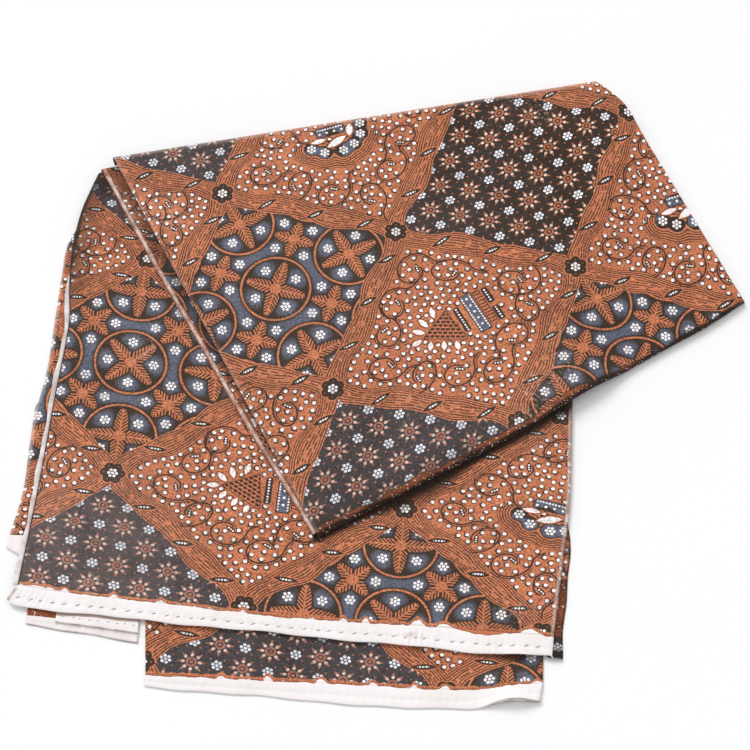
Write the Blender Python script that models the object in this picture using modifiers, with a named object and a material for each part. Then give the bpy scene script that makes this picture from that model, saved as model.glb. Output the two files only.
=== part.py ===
"""A batik sarong cloth, folded lengthwise to four layers and folded over once on a slant.

The cloth lies flat. The lower block comes up from its hems to the slanted head fold, and the
flap comes back down from that fold to the lower right. Every stretch that shows is a solid of
its own, and the layers that don't show share one rounded solid under each stretch.

Tables and sizes are in millimetres in the layout of the folded cloth, x to the right, y away
from the hems and z up from the surface that it lies on. The model is in metres, with its
origin at the bottom centre of the whole.
"""

import bpy
import numpy as np

# Driving dimensions, in millimetres
CLOTH = 1.2                 # wall of one visible layer
GAP = 0.3                   # clearance between layers and at seams
STRIP_WIDTH = 547.0         # the cloth folded lengthwise
BLOCK_LENGTH = 600.0        # the front panel from its hem to the head fold, on average
BLOCK_TOP = 8.0             # top of the four layers of the lower block
EDGE_HEIGHT = 4.6           # top of the front panel at its folded side edges
EDGE_ROUND = 13.0           # how far in from a side edge the front panel rounds down
PRINT_EDGE_HEIGHT = 5.2     # top of the front panel where it meets its hem
FRONT_SLOPE = 75.0          # how far in from its hem the front panel comes down
CORE_BULGE = 2.0            # the hidden layers' rounded rim
CORE_REACH = 4.0            # how near the block's hidden layers come to its side edges' curve
FILL_SHORT = (3.4, 9.8)     # how near their top and their foot come to the head fold
HEM_WALL = 1.8              # the turned hem, three plies
HEM_END_ROUND = 6.0         # the front hem thins at its ends over this length, by
HEM_END_DROP = 0.5          # this much
SIDE_HEM_WIDTH = 5.5        # narrow undyed hem along the front panel's left edge
SIDE_HEM_SHARE = 0.72       # how much of that edge it shows along
SECOND_WALL = 2.6           # second layer of the block, a folded edge of two plies
SECOND_ROUND = 6.0          # radius of that fold
SECOND_LIP = 1.4            # its height at its outermost line
RIGHT_FOLD_TOP = 3.1        # top of the under layers at the right
UPPER_HEM_TOP = 3.0         # top of the upper of the two hems at the lower left
FLAP_RISE = 9.0             # height of the four layers of the flap
FLAP_EDGE_ROUND = 8.0       # how far in the flap's left edge comes down, by
FLAP_EDGE_DROP = 1.5        # this much
FLAP_SIDE_ROUND = 7.0       # radius of the flap's right-hand fold
ROLL_TUCK = 10.0            # how far the flap's foot is turned under past its roll
HEAD_TURN = 150             # degrees that the flap's top layer turns round the head fold
RAMP_START = 15.0           # the flap comes down to the surface past the block's right edge,
RAMP_END = 62.0             # between these distances from it
UNDER_RISE = 5.6            # height of the flap's second layer at its crest
UNDER_ROUND = 6.0           # radius of that crest
UNDER_LIP = 1.6             # its height at its outermost line
UNDER_REACH = 24.0          # how far the second layer reaches in under the flap
UNDER_TURN = 140            # degrees that it turns round the head fold
UNDER_INSET = 13.0          # its turn lies this far inside the flap's
CENTRE = (17.5, 14.34)      # middle of the layout's outline, moved to the model's origin

# Rows of points in the flap's top layer: its roll is ARC steps up and ARC down
ARC = 4
TOP_ROWS = 12
TURN_STEPS = 6

# Outlines, columns x and y
FRONT_PRINT_EDGE = [(-354, -248), (-314, -255), (-190, -270), (-73, -284), (60, -293),
                    (174, -303)]
FRONT_HEM_EDGE = [(-363, -263), (-342, -272), (-224, -286), (-73, -302), (24, -312),
                  (100, -320), (163, -323), (171, -326)]
FRONT_LEFT = [(-354, -248), (-349, -190), (-344, -120), (-339, -30), (-333, 58), (-337, 110),
              (-339, 162), (-334, 213), (-325, 246), (-324, 256)]
FRONT_RIGHT = [(174, -303), (187, -226), (199, -150), (209, -35), (228, 120), (255, 330),
               (261, 375)]
SECOND_LEFT = [(-369, -191), (-361, -141), (-360, -90), (-359, -42), (-356, -32), (-351, 11),
               (-349, 80), (-348, 121), (-346, 167), (-338, 192)]
SECOND_HEM_EDGE = [(-371, -205), (-356, -214), (-345, -216)]
SECOND_PRINT_EDGE = [(-369.2, -191.3), (-356, -192), (-345, -193)]
RIGHT_FOLD_EDGE = [(180, -325), (185, -279), (191, -241), (197, -185), (200, -152)]
BACK_PRINT_EDGE = [(-221, -341), (-43, -350), (67, -356), (111, -354), (161, -350)]
BACK_HEM_EDGE = [(-222, -353), (-43, -369), (30, -375), (89, -375), (120, -372), (157, -371)]
BACK_INNER_EDGE = [(-229, -230), (-73, -248), (60, -257), (167, -267)]
INNER_PRINT_EDGE = [(-342, -279), (-298, -284), (-231, -293)]
INNER_HEM_EDGE = [(-342, -288), (-298, -296), (-231, -309)]
INNER_EDGE = [(-341, -220), (-290, -226), (-232.5, -232)]
UPPER_HEM_EDGE = [(-313, -287), (-270, -293), (-231, -299)]
UPPER_INNER_EDGE = [(-312, -226), (-270, -229), (-232.5, -232)]
FLAP_FOOT = [(-57, -199), (56, -134), (130, -91), (208, -38), (283, 11), (326, 38), (362, 60),
             (406, 92)]
FLAP_HEAD = [(-303, 289), (-100, 331), (100, 372), (220, 397), (258, 404), (283, 387),
             (303, 354)]

# Second layer of the flap, columns: share of the way from foot to head, how far out it shows
UNDER_SHOWS = [(0.0, 4.0), (0.25, 7.0), (0.5, 9.0), (0.75, 14.0), (1.0, 18.0)]

# Lifts of the two hems, columns: x of the middle, half width, height
FRONT_HEM_LIFTS = [(45, 24, 1.4), (140, 22, 3.6)]
BACK_HEM_LIFTS = [(128, 30, 6.5)]

# Distances in from the edges where the grids have their closer columns or rows
FRONT_SIDE_STEPS = [0, 2, 5, 9, 13]
FRONT_FOOT_STEPS = [0, 14, 28, 40, 58, 76]
FLAP_LEFT_STEPS = [0, 3, 8, UNDER_REACH + 1]
FLAP_RIGHT_STEPS = [0, 1.2, 3, 5, 7.5, 15, 25, 36, 48, 62]
UNDER_STEPS = [0, 1.2, 3.5, 7, 14, 30]

# Colours and roughness
PRINT_BROWN = ((0.50, 0.17, 0.075), 0.85)
PRINT_DARK = ((0.17, 0.09, 0.06), 0.88)
UNDYED = ((0.83, 0.77, 0.76), 0.9)


def outline(table, fractions):
    """Points at the given shares of the length of a smooth curve through the table's points."""
    knots = np.array(table, float)
    padded = np.vstack([2 * knots[0] - knots[1], knots, 2 * knots[-1] - knots[-2]])
    steps = np.linspace(0, 1, 24, endpoint=False)[:, None]
    pieces = []
    for p0, p1, p2, p3 in zip(padded, padded[1:], padded[2:], padded[3:]):
        pieces.append(0.5 * (2 * p1 + (p2 - p0) * steps + (2 * p0 - 5 * p1 + 4 * p2 - p3) * steps ** 2
                             + (3 * p1 - p0 - 3 * p2 + p3) * steps ** 3))
    curve = np.vstack(pieces + [knots[-1:]])
    length = np.r_[0, np.cumsum(np.linalg.norm(np.diff(curve, axis=0), axis=1))]
    wanted = np.asarray(fractions, float) * length[-1]
    return np.stack([np.interp(wanted, length, curve[:, k]) for k in (0, 1)], -1)


def patch(bottom, top, left, right, u, v):
    """Coons patch between four outlines: rows follow v, columns follow u."""
    low, high = outline(bottom, u), outline(top, u)
    west, east = outline(left, v), outline(right, v)
    across, up = u[None, :, None], v[:, None, None]
    ruled_up = (1 - up) * low[None] + up * high[None]
    ruled_across = (1 - across) * west[:, None] + across * east[:, None]
    corners = ((1 - up) * ((1 - across) * low[0] + across * low[-1])
               + up * ((1 - across) * high[0] + across * high[-1]))
    return ruled_up + ruled_across - corners


def stations(length, near, far, count):
    """Shares from 0 to 1, with close steps in from both ends and even steps between."""
    head = np.array(near) / length
    tail = 1 - np.array(far[::-1]) / length
    return np.r_[head, np.linspace(head[-1], tail[0], count)[1:-1], tail]


def rounded(inward, radius):
    """Share of full height at a distance in from a folded edge: a quarter circle."""
    reach = np.clip(inward / radius, 0, 1)
    return np.sqrt(1 - (1 - reach) ** 2)


def smooth(x):
    """Soft step from 0 to 1."""
    x = np.clip(x, 0, 1)
    return x * x * (3 - 2 * x)


def lifts(table, x):
    """Sum of soft humps along a hem."""
    return sum(height * smooth(1 - np.abs(x - middle) / half) for middle, half, height in table)


def with_height(plane, height):
    return np.dstack([plane, np.broadcast_to(height, plane.shape[:2])])


def normals(grid):
    """Unit normals of a grid of points, from its two directions."""
    along = np.gradient(grid, axis=1)
    up = np.gradient(grid, axis=0)
    cross = np.cross(along, up)
    return cross / np.linalg.norm(cross, axis=2, keepdims=True)


def material(name, finish):
    colour, roughness = finish
    made = bpy.data.materials.new(name)
    made.use_nodes = True
    shader = made.node_tree.nodes["Principled BSDF"]
    shader.inputs["Base Color"].default_value = (*colour, 1)
    shader.inputs["Roughness"].default_value = roughness
    shader.inputs["Metallic"].default_value = 0.0
    return made


def add_object(name, points, faces, finish):
    metres = (points - np.array([*CENTRE, 0])) / 1000
    mesh = bpy.data.meshes.new(name)
    mesh.from_pydata(metres.tolist(), [], faces)
    mesh.update()
    made = bpy.data.objects.new(name, mesh)
    mesh.materials.append(finish)
    COLLECTION.objects.link(made)
    return made


def grid_faces(rows, columns, start=0):
    return [(start + r * columns + c, start + r * columns + c + 1,
             start + (r + 1) * columns + c + 1, start + (r + 1) * columns + c)
            for r in range(rows - 1) for c in range(columns - 1)]


def sheet(name, grid, wall, finish):
    """A layer of cloth: its outer side on the grid, its wall grown inwards by Solidify."""
    rows, columns = grid.shape[:2]
    made = add_object(name, grid.reshape(-1, 3), grid_faces(rows, columns), finish)
    shell = made.modifiers.new("wall", "SOLIDIFY")
    shell.thickness = wall / 1000
    shell.offset = -1
    return made


def between(name, top, bottom, finish):
    """A closed solid between two grids of the same size, joined round their rims."""
    rows, columns = top.shape[:2]
    count = rows * columns
    faces = grid_faces(rows, columns)
    faces += [face[::-1] for face in grid_faces(rows, columns, count)]
    index = np.arange(count).reshape(rows, columns)
    rim = np.r_[index[0, :-1], index[:-1, -1], index[-1, :0:-1], index[:0:-1, 0]].tolist()
    faces += [(a, a + count, b + count, b) for a, b in zip(rim, rim[1:] + rim[:1])]
    return add_object(name, np.vstack([top.reshape(-1, 3), bottom.reshape(-1, 3)]), faces, finish)


def layer(name, plane, top, wall, finish):
    """A layer whose upper and lower sides follow the same plan, one wall apart in height."""
    top = np.broadcast_to(top, plane.shape[:2])
    return between(name, with_height(plane, top), with_height(plane, top - wall), finish)


def moved(table, dx, dy):
    return [(x + dx, y + dy) for x, y in table]


def straight(start, end):
    return [start, ((start[0] + end[0]) / 2, (start[1] + end[1]) / 2), end]


def plain_patch(low, high, u, v):
    """Patch between a lower and an upper outline with straight ends."""
    return patch(low, high, straight(low[0], high[0]), straight(low[-1], high[-1]), u, v)


def ruled(low, high, u, shares):
    """Rows of points from one outline to another, at the given shares of the way."""
    share = np.array(shares, float)[:, None, None]
    return (1 - share) * outline(low, u) + share * outline(high, u)


def front_rows():
    """Shares of the way up the front panel, close together where it comes down to its hem."""
    return stations(BLOCK_LENGTH, FRONT_FOOT_STEPS, [0], 11)


def front_grid():
    """Outer side of the front panel: level, rounding down at its sides and towards its hem."""
    u = stations(STRIP_WIDTH, FRONT_SIDE_STEPS, FRONT_SIDE_STEPS, 15)
    v = front_rows()
    plane = patch(FRONT_PRINT_EDGE, straight(FRONT_LEFT[-1], FRONT_RIGHT[-1]),
                  FRONT_LEFT, FRONT_RIGHT, u, v)
    from_side = np.minimum(u, 1 - u) * STRIP_WIDTH
    side = EDGE_HEIGHT + (BLOCK_TOP - EDGE_HEIGHT) * rounded(from_side, EDGE_ROUND)
    rise = smooth(v * BLOCK_LENGTH / FRONT_SLOPE)
    front = PRINT_EDGE_HEIGHT + (BLOCK_TOP - PRINT_EDGE_HEIGHT) * rise
    return with_height(plane, np.minimum(side[None, :], front[:, None]))


def front_hem():
    """The turned hem below the front panel, with its two soft lifts."""
    u = np.linspace(0, 1, 41)
    plane = ruled(FRONT_HEM_EDGE, moved(FRONT_PRINT_EDGE, 0, -GAP), u, [0, 0.5, 1])
    from_end = np.minimum(u, 1 - u) * STRIP_WIDTH
    top = PRINT_EDGE_HEIGHT - 0.1 + HEM_END_DROP * rounded(from_end, HEM_END_ROUND)
    lift = lifts(FRONT_HEM_LIFTS, plane[:, :, 0]) * np.array([1, 0.7, 0.1])[:, None]
    layer("front_hem", plane, top + lift, HEM_WALL, WHITE)


def block_core(front):
    """Hidden layers of the block: the front panel's own points moved in, and a flat foot.

    They go on into the head fold, except at the left, where the second layer turns.
    """
    first_row, side = 3, len(FRONT_SIDE_STEPS) - 1
    top = (front - (CLOTH + GAP) * normals(front))[first_row:, side:-side]
    foot = with_height(top[:, :, :2], 0.0)
    outward = foot[:, :, :2] - foot[:, :, :2].mean(axis=(0, 1))
    outward /= np.linalg.norm(outward, axis=2, keepdims=True)
    rim = np.ones(foot.shape[:2], bool)
    rim[1:-1, 1:-1] = False
    foot[rim, :2] += CORE_BULGE * outward[rim]
    top[rim, 2] -= CORE_BULGE * 0.4
    head = np.array(FLAP_HEAD[:5], float).T
    ends = []
    for grid, short_of in ((top, FILL_SHORT[0]), (foot, FILL_SHORT[1])):
        end = grid[-1].copy()
        reach = np.interp(end[:, 0], *head) - short_of - end[:, 1]
        end[:, 1] += reach * np.where(np.arange(len(end)) < 2, 0.08, 1.0)
        ends.append(np.concatenate([grid, end[None]]))
    between("block_core", *ends, DARK)


def second_panel():
    """Second layer of the block, a folded edge that sticks out at the left, and its hem."""
    outer = outline(SECOND_LEFT, np.linspace(0, 1, 25))
    height_up = (outer[:, 1] - FRONT_PRINT_EDGE[0][1]) / 510
    inner = outline(moved(FRONT_LEFT, EDGE_ROUND - CORE_REACH, 0), height_up)
    share = np.array([0, 0.08, 0.2, 0.6, 1])
    plane = (1 - share[:, None]) * outer[:, None] + share[:, None] * inner[:, None]
    inward = share * 30
    top = SECOND_LIP + (SECOND_WALL - SECOND_LIP) * rounded(inward, SECOND_ROUND)
    between("second_panel", with_height(plane, top), with_height(plane, 0.0), BROWN)

    plane = plain_patch(SECOND_HEM_EDGE, SECOND_PRINT_EDGE, np.linspace(0, 1, 6),
                        np.linspace(0, 1, 3))
    layer("second_hem", plane, SECOND_WALL - 0.4, SECOND_WALL - 0.4, WHITE)


def side_hem():
    """Narrow hem on the front panel's own edge points, with a raised middle."""
    v = front_rows()
    right = outline(moved(FRONT_LEFT, -GAP, 0), v[v < SIDE_HEM_SHARE])
    out = np.stack([np.array([SIDE_HEM_WIDTH, SIDE_HEM_WIDTH / 2, 0]), np.zeros(3)], -1)
    plane = right[:, None] - out[None]
    floor = SECOND_WALL + GAP
    between("side_hem", with_height(plane, floor + np.array([1.5, 2.2, 1.5])),
            with_height(plane, floor), WHITE)


def right_fold():
    """Under layers that show past the front panel's right edge."""
    outer = outline(RIGHT_FOLD_EDGE, np.linspace(0, 1, 13))
    height_up = (outer[:, 1] - FRONT_RIGHT[0][1]) / 690 + 0.002
    inner = outline(moved(FRONT_RIGHT, -5.5, 0), height_up)
    share = np.array([0, 0.6, 0.9, 1])[:, None]
    plane = (1 - share) * inner[:, None] + share * outer[:, None]
    lip = np.array([0, 0, 0.2, 0.7])
    between("right_fold", with_height(plane, RIGHT_FOLD_TOP - lip),
            with_height(plane, CLOTH + GAP), DARK)


def back_panel():
    """The lowest panel, on the surface, and its hem with one lifted wave."""
    u = np.linspace(0, 1, 29)
    plane = plain_patch(moved(BACK_PRINT_EDGE, 0, GAP), BACK_INNER_EDGE, u,
                        np.array([0, 0.3, 0.6, 1]))
    lift = lifts(BACK_HEM_LIFTS, plane[:, :, 0]) * np.array([0.45, 0.1, 0, 0])[:, None]
    layer("back_panel", plane, CLOTH + np.minimum(lift, 2.0), CLOTH, BROWN)

    plane = ruled(BACK_HEM_EDGE, BACK_PRINT_EDGE, u, [0, 0.5, 1])
    lift = lifts(BACK_HEM_LIFTS, plane[:, :, 0]) * np.array([1, 0.6, 0.3])[:, None]
    layer("back_hem", plane, HEM_WALL + lift, HEM_WALL, WHITE)


def inner_layers():
    """Two more layers that show their hems below the front hem at the lower left."""
    u, ends = np.linspace(0, 1, 9), np.array([0.0, 1.0])
    plane = plain_patch(moved(INNER_PRINT_EDGE, 0, GAP), INNER_EDGE, u, ends)
    layer("inner_panel", plane, CLOTH, CLOTH, BROWN)
    plane = ruled(INNER_HEM_EDGE, INNER_PRINT_EDGE, u, ends)
    layer("inner_hem_lower", plane, CLOTH + GAP, CLOTH + GAP, WHITE)
    plane = plain_patch(UPPER_HEM_EDGE, UPPER_INNER_EDGE, u, ends)
    layer("inner_hem_upper", plane, UPPER_HEM_TOP, CLOTH, WHITE)


def flap_base(plane):
    """Height of what the flap lies on: the block, then down to the surface past its edge."""
    edge = np.array(FRONT_RIGHT, float)
    past = plane[..., 0] - np.interp(plane[..., 1], edge[:, 1], edge[:, 0])
    return (BLOCK_TOP + GAP) * (1 - smooth((past - RAMP_START) / (RAMP_END - RAMP_START)))


def flap_column(foot, head):
    """One line of the flap's outer side, from the tuck under its foot to the head fold.

    It runs along the underside, round the roll, over the top and round the head fold, which
    takes in all the layers of the block.
    """
    length = np.linalg.norm(head - foot)
    floor = flap_base(foot)
    roll = FLAP_RISE / 2 - 0.2
    turn = (flap_base(head) + FLAP_RISE) / 2
    theta = np.radians(np.linspace(-90, 90, 2 * ARC + 1))
    phi = np.radians(np.linspace(0, HEAD_TURN, TURN_STEPS + 1))
    over = np.linspace(roll, length - turn, TOP_ROWS + 2)[1:-1]
    along = np.r_[roll + ROLL_TUCK, roll * (1 - np.cos(theta)), over,
                  length - turn + turn * np.sin(phi)]
    plane = foot + (head - foot) / length * along[:, None]
    sunk = 0.4 * smooth(1 - (over - roll) / 60)
    top = flap_base(plane[2 * ARC + 2:-TURN_STEPS - 1]) + FLAP_RISE - sunk
    z = np.r_[floor, floor + roll + roll * np.sin(theta), top, turn + turn * np.cos(phi)]
    return np.column_stack([plane, z])


def flap_grid(u):
    """Outer side of the flap's top layer, its sides rounded down."""
    pairs = zip(outline(FLAP_FOOT, u), outline(FLAP_HEAD, u))
    grid = np.stack([flap_column(foot, head) for foot, head in pairs], 1)
    raised = grid[:, :, 2] > flap_base(outline(FLAP_FOOT, u))[None] + 0.5
    low = flap_base(grid[:, :, :2]) * raised
    share = rounded((1 - u) * STRIP_WIDTH + 0.35, FLAP_SIDE_ROUND)
    squeezed = low + (grid[:, :, 2] - low) * share[None]
    grid[:, :, 2] = np.where(grid[:, :, 2] > low, squeezed, grid[:, :, 2])
    top = slice(2 * ARC + 2, 2 * ARC + TOP_ROWS + 3)
    grid[top, :, 2] -= FLAP_EDGE_DROP * (1 - rounded(u * STRIP_WIDTH, FLAP_EDGE_ROUND))[None]
    return grid


def flap():
    """The flap's top layer, and the hidden layers made from its points moved in."""
    grid = flap_grid(stations(STRIP_WIDTH, FLAP_LEFT_STEPS, FLAP_RIGHT_STEPS, 12))
    sheet("flap_panel", grid, CLOTH, BROWN)

    first_row, left = ARC + 1, len(FLAP_LEFT_STEPS) - 1
    inner = (grid - (CLOTH + GAP) * normals(grid))[first_row:-TURN_STEPS - 1, left:-left - 1]
    floor = flap_base(inner[:, :, :2]) + GAP
    floor[:ARC + 3] += CLOTH
    mirrored = 2 * inner[0, :, 2] - inner[:ARC + 1, :, 2]
    floor[:ARC + 1] = np.maximum(floor[:ARC + 1], mirrored)
    bottom = with_height(inner[:, :, :2], np.minimum(floor, inner[:, :, 2] - 0.6))
    between("flap_core", inner, bottom, DARK)


def flap_under():
    """Second layer of the flap: a crest that shows along the left edge, turned at the head."""
    shares = np.r_[0.01, np.linspace(0.08, 1, 14)]
    (foot, _), (head, beside) = outline(FLAP_FOOT, [0, 1]), outline(FLAP_HEAD, [0, 0.2])
    toward = (head - foot) / np.linalg.norm(head - foot)
    out = np.array([-toward[1], toward[0]])
    fold = (beside - head) / np.linalg.norm(beside - head)
    skew = (fold @ toward) / (fold @ -out)

    turn = (BLOCK_TOP + GAP + UNDER_RISE) / 2
    length = np.linalg.norm(head - foot) - UNDER_INSET - turn
    phi = np.radians(np.linspace(0, UNDER_TURN, 7)[1:])
    along = np.r_[shares * length, length + turn * np.sin(phi)][:, None]
    table = np.array(UNDER_SHOWS)
    shows = np.interp(np.minimum(along[:, 0] / length, 1), table[:, 0], table[:, 1])
    across = np.array(UNDER_STEPS) / UNDER_STEPS[-1]
    inward = across[None] * (shows + UNDER_REACH)[:, None]
    offset = shows[:, None] - inward
    slide = -offset * skew * smooth((along - 380) / 140)
    plane = foot + toward * (along + slide)[:, :, None] + out * offset[:, :, None]

    share = rounded(inward, UNDER_ROUND)
    crest = BLOCK_TOP + GAP + UNDER_LIP + (UNDER_RISE - UNDER_LIP) * share
    turned = (turn + turn * np.cos(phi))[:, None] - (1 - share[len(shares):])
    top = np.vstack([crest[:len(shares)], turned])
    sheet("flap_under", with_height(plane, top), CLOTH, BROWN)


for old in list(bpy.data.objects):
    bpy.data.objects.remove(old, do_unlink=True)
COLLECTION = bpy.data.collections.new("batik_sarong")
bpy.context.scene.collection.children.link(COLLECTION)
BROWN = material("printed_cotton", PRINT_BROWN)
DARK = material("shadowed_print", PRINT_DARK)
WHITE = material("undyed_cotton", UNDYED)

front = front_grid()
sheet("front_panel", front, CLOTH, BROWN)
front_hem()
side_hem()
second_panel()
right_fold()
block_core(front)
inner_layers()
back_panel()
flap()
flap_under()
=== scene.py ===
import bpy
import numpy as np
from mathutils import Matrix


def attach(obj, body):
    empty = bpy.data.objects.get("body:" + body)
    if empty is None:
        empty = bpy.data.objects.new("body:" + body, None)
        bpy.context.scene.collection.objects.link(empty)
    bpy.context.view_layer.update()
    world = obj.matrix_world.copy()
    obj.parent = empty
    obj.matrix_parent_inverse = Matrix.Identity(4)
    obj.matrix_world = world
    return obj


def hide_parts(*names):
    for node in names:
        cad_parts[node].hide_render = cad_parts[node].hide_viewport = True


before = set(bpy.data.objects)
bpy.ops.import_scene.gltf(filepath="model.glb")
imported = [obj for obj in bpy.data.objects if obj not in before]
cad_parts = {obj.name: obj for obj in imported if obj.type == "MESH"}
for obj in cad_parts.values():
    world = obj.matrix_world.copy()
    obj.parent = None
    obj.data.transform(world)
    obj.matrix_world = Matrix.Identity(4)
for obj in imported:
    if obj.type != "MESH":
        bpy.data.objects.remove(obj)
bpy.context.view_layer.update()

# A batik sarong cloth lying flat, folded lengthwise to four layers and folded over once on a
# slant. Tables and lengths are in millimetres in the layout of the folded cloth, x to the
# right, y away from the hems and z up; the layout's CENTRE lies at the frame's origin.

# The folded cloth's sizes, as in the part
CLOTH = 1.2
GAP = 0.3
STRIP_WIDTH = 547.0
BLOCK_LENGTH = 600.0
BLOCK_TOP = 8.0
EDGE_HEIGHT = 4.6
EDGE_ROUND = 13.0
PRINT_EDGE_HEIGHT = 5.2
FRONT_SLOPE = 75.0
CORE_REACH = 4.0
HEM_WALL = 1.8
HEM_END_ROUND = 6.0
HEM_END_DROP = 0.5
SIDE_HEM_WIDTH = 5.5
SIDE_HEM_SHARE = 0.72
SECOND_WALL = 2.6
SECOND_ROUND = 6.0
SECOND_REACH = 30.0
LEFT_HEIGHT = 510.0
RIGHT_FOLD_TOP = 3.1
UPPER_HEM_TOP = 3.0
PUCKER_PITCH = 12.5
GATHER_PITCH = 6.1
FLAP_RISE = 9.0
FLAP_EDGE_ROUND = 8.0
FLAP_EDGE_DROP = 1.5
FLAP_SIDE_ROUND = 7.0
ROLL_TUCK = 10.0
HEAD_TURN = 150
RAMP_START = 15.0
RAMP_END = 62.0
UNDER_RISE = 5.6
UNDER_ROUND = 6.0
UNDER_REACH = 24.0
UNDER_TURN = 140
UNDER_INSET = 13.0
CENTRE = (17.5, 14.34)

# Outlines in the layout, x and y; "edge" is the outer line and "inner" the line under the next layer
FRONT_PRINT_EDGE = [(-354, -248), (-314, -255), (-190, -270), (-73, -284), (60, -293), (174, -303)]
FRONT_HEM_EDGE = [(-363, -263), (-342, -272), (-224, -286), (-73, -302), (24, -312), (100, -320),
                  (163, -323), (171, -326)]
FRONT_LEFT = [(-354, -248), (-349, -190), (-344, -120), (-339, -30), (-333, 58), (-337, 110),
              (-339, 162), (-334, 213), (-326, 246), (-319, 270)]
FRONT_RIGHT = [(174, -303), (187, -226), (199, -150), (209, -35), (228, 120), (255, 330), (261, 375)]
SECOND_LEFT = [(-369, -191), (-361, -141), (-360, -90), (-359, -42), (-356, -32), (-351, 11),
               (-349, 80), (-348, 121), (-346, 167), (-338, 192)]
SECOND_HEM_EDGE = [(-371, -205), (-356, -214), (-345, -216)]
SECOND_PRINT_EDGE = [(-369.2, -191.3), (-356, -192), (-345, -193)]
RIGHT_FOLD_EDGE = [(180, -325), (185, -279), (191, -241), (197, -185), (200, -152)]
BACK_PRINT_EDGE = [(-221, -341), (-43, -350), (67, -356), (111, -354), (161, -350)]
BACK_HEM_EDGE = [(-222, -353), (-43, -369), (30, -375), (89, -375), (120, -372), (157, -371)]
BACK_INNER_EDGE = [(-229, -230), (-73, -248), (60, -257), (167, -267)]
INNER_PRINT_EDGE = [(-342, -279), (-298, -284), (-231, -293)]
INNER_HEM_EDGE = [(-342, -288), (-298, -296), (-231, -309)]
INNER_EDGE = [(-341, -220), (-290, -226), (-232.5, -232)]
UPPER_HEM_EDGE = [(-313, -287), (-270, -293), (-231, -299)]
UPPER_INNER_EDGE = [(-312, -226), (-270, -229), (-232.5, -232)]
FLAP_FOOT = [(-57, -199), (56, -134), (130, -91), (208, -38), (283, 11), (326, 38), (362, 60),
             (406, 92)]
FLAP_HEAD = [(-303, 289), (-100, 331), (100, 372), (220, 396.5), (246, 402), (257, 404.2),
             (262, 404.6), (266, 401.4), (274, 393.6), (283, 383.8), (292, 373), (303, 354)]
# How much of the second layer shows beside the flap: share of the way up, width
UNDER_SHOWS = [(0.0, 4.0), (0.25, 7.0), (0.5, 9.0), (0.75, 14.0), (1.0, 18.0)]
# A faded spot on the front panel, the painted shade at the flap's left end, the knot in the front hem
FADED_SPOT = (-300, -225)
PAINTED_SHADE_SPOT = (-309, 262)
KNOT = (34, -301.5)
THREAD_RADIUS = 0.31

# Humps along a hem: middle along x, half width, height. Lifts raise the hem, bites are how far
# the undyed cloth runs up into the print (or the print down over the hem, less than 0), and
# gathers are the height of its tight puckers.
FRONT_HEM_LIFTS = [(45, 24, 1.4), (140, 22, 3.6)]
BACK_HEM_LIFTS = [(132, 36, 9.0)]
FRONT_BITES = [(-330, 34, 3.2), (-306, 5, 3.5), (-258, 6, 4.5), (-211, 6, 3.5), (-130, 5, 3.2),
               (-62, 4, 2.2), (-31, 5, 3.8), (-9, 5, 4.4), (42, 9, 6.0), (68, 11, 3.6),
               (106, 34, -4.2), (152, 15, 5.0)]
BACK_BITES = [(-148, 6, 3.6), (-103, 6, 4.4), (-52, 7, 4.0), (-2, 6, 3.8), (38, 5, 3.2),
              (67, 6, 4.0), (110, 22, -1.6), (156, 8, 3.4)]
FRONT_GATHERS = [(-335, 34, 0.8), (-200, 60, 0.3), (-60, 40, 0.45), (38, 24, 1.5), (120, 40, 0.6)]
BACK_GATHERS = [(-190, 55, 0.8), (-70, 70, 0.55), (60, 40, 0.4)]

# Soft creases: start x and y, end x and y, half width, height
BLOCK_CREASES = [(-330, 20, -40, 95, 26, 0.5), (-345, -110, 195, -190, 34, -0.45),
                 (60, -290, 185, -60, 22, 0.55), (-150, -270, -230, 60, 30, -0.4)]
FLAP_CREASES = [(-120, 60, 280, 330, 34, 0.6), (-60, -120, 330, 130, 24, 0.5),
                (60, -60, 230, 380, 30, -0.5), (-230, 240, 60, 20, 26, 0.4)]

# The print's lozenge lattice. A step along s or t goes from a cell's middle to its corner.
S_STEP = 152.0
T_STEP = 138.0
SIDE = 204.0
# Where the cloth's stretch moves the print: x and y, then the shift in lattice steps
BLOCK_PULLS = [(-270, -125, 0, 0), (-127, -269, -0.03, -0.07), (31, -171, 0, 0),
               (196, -53, -0.007, -0.096), (162, -296, 0.09, -0.26), (-254, 148, 0.08, -0.13)]
FLAP_PULLS = [(-174, 234, 0, 0), (23, 178, 0, 0), (-44, -30, 0, 0), (221, 128, -0.04, -0.04),
              (149, -63, -0.07, -0.2), (298, 357, -0.2, -0.17)]
# Charts: the lattice's origin, one step along s, one step along t, and the pulls
BLOCK_CHART = ((-270, -125), (150.5, -23), (12.5, 129), BLOCK_PULLS)
FLAP_CHART = ((-173, 232), (131.5, 76), (-64.5, 132), FLAP_PULLS)
BACK_SHIFT = (-1.40, 0.53)
PULL_REACH = 110.0
PULL_REST = 0.25

# Folding shapes


def outline(table, fractions):
    """Points at given shares of the length of a Catmull-Rom curve: between two knots, half of
    2 p1 + (p2 - p0) t + (2 p0 - 5 p1 + 4 p2 - p3) t^2 + (3 p1 - p0 - 3 p2 + p3) t^3."""
    knots = np.array(table, float)
    padded = np.vstack([2 * knots[0] - knots[1], knots, 2 * knots[-1] - knots[-2]])
    t = np.linspace(0, 1, 24, endpoint=False)[:, None]
    pieces = []
    for p0, p1, p2, p3 in zip(padded, padded[1:], padded[2:], padded[3:]):
        pieces.append(0.5 * (2 * p1 + (p2 - p0) * t + (2 * p0 - 5 * p1 + 4 * p2 - p3) * t ** 2
                             + (3 * p1 - p0 - 3 * p2 + p3) * t ** 3))
    curve = np.vstack(pieces + [knots[-1:]])
    length = walked_along(curve)
    wanted = np.asarray(fractions, float) * length[-1]
    return at_lengths(curve, length, wanted)


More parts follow.
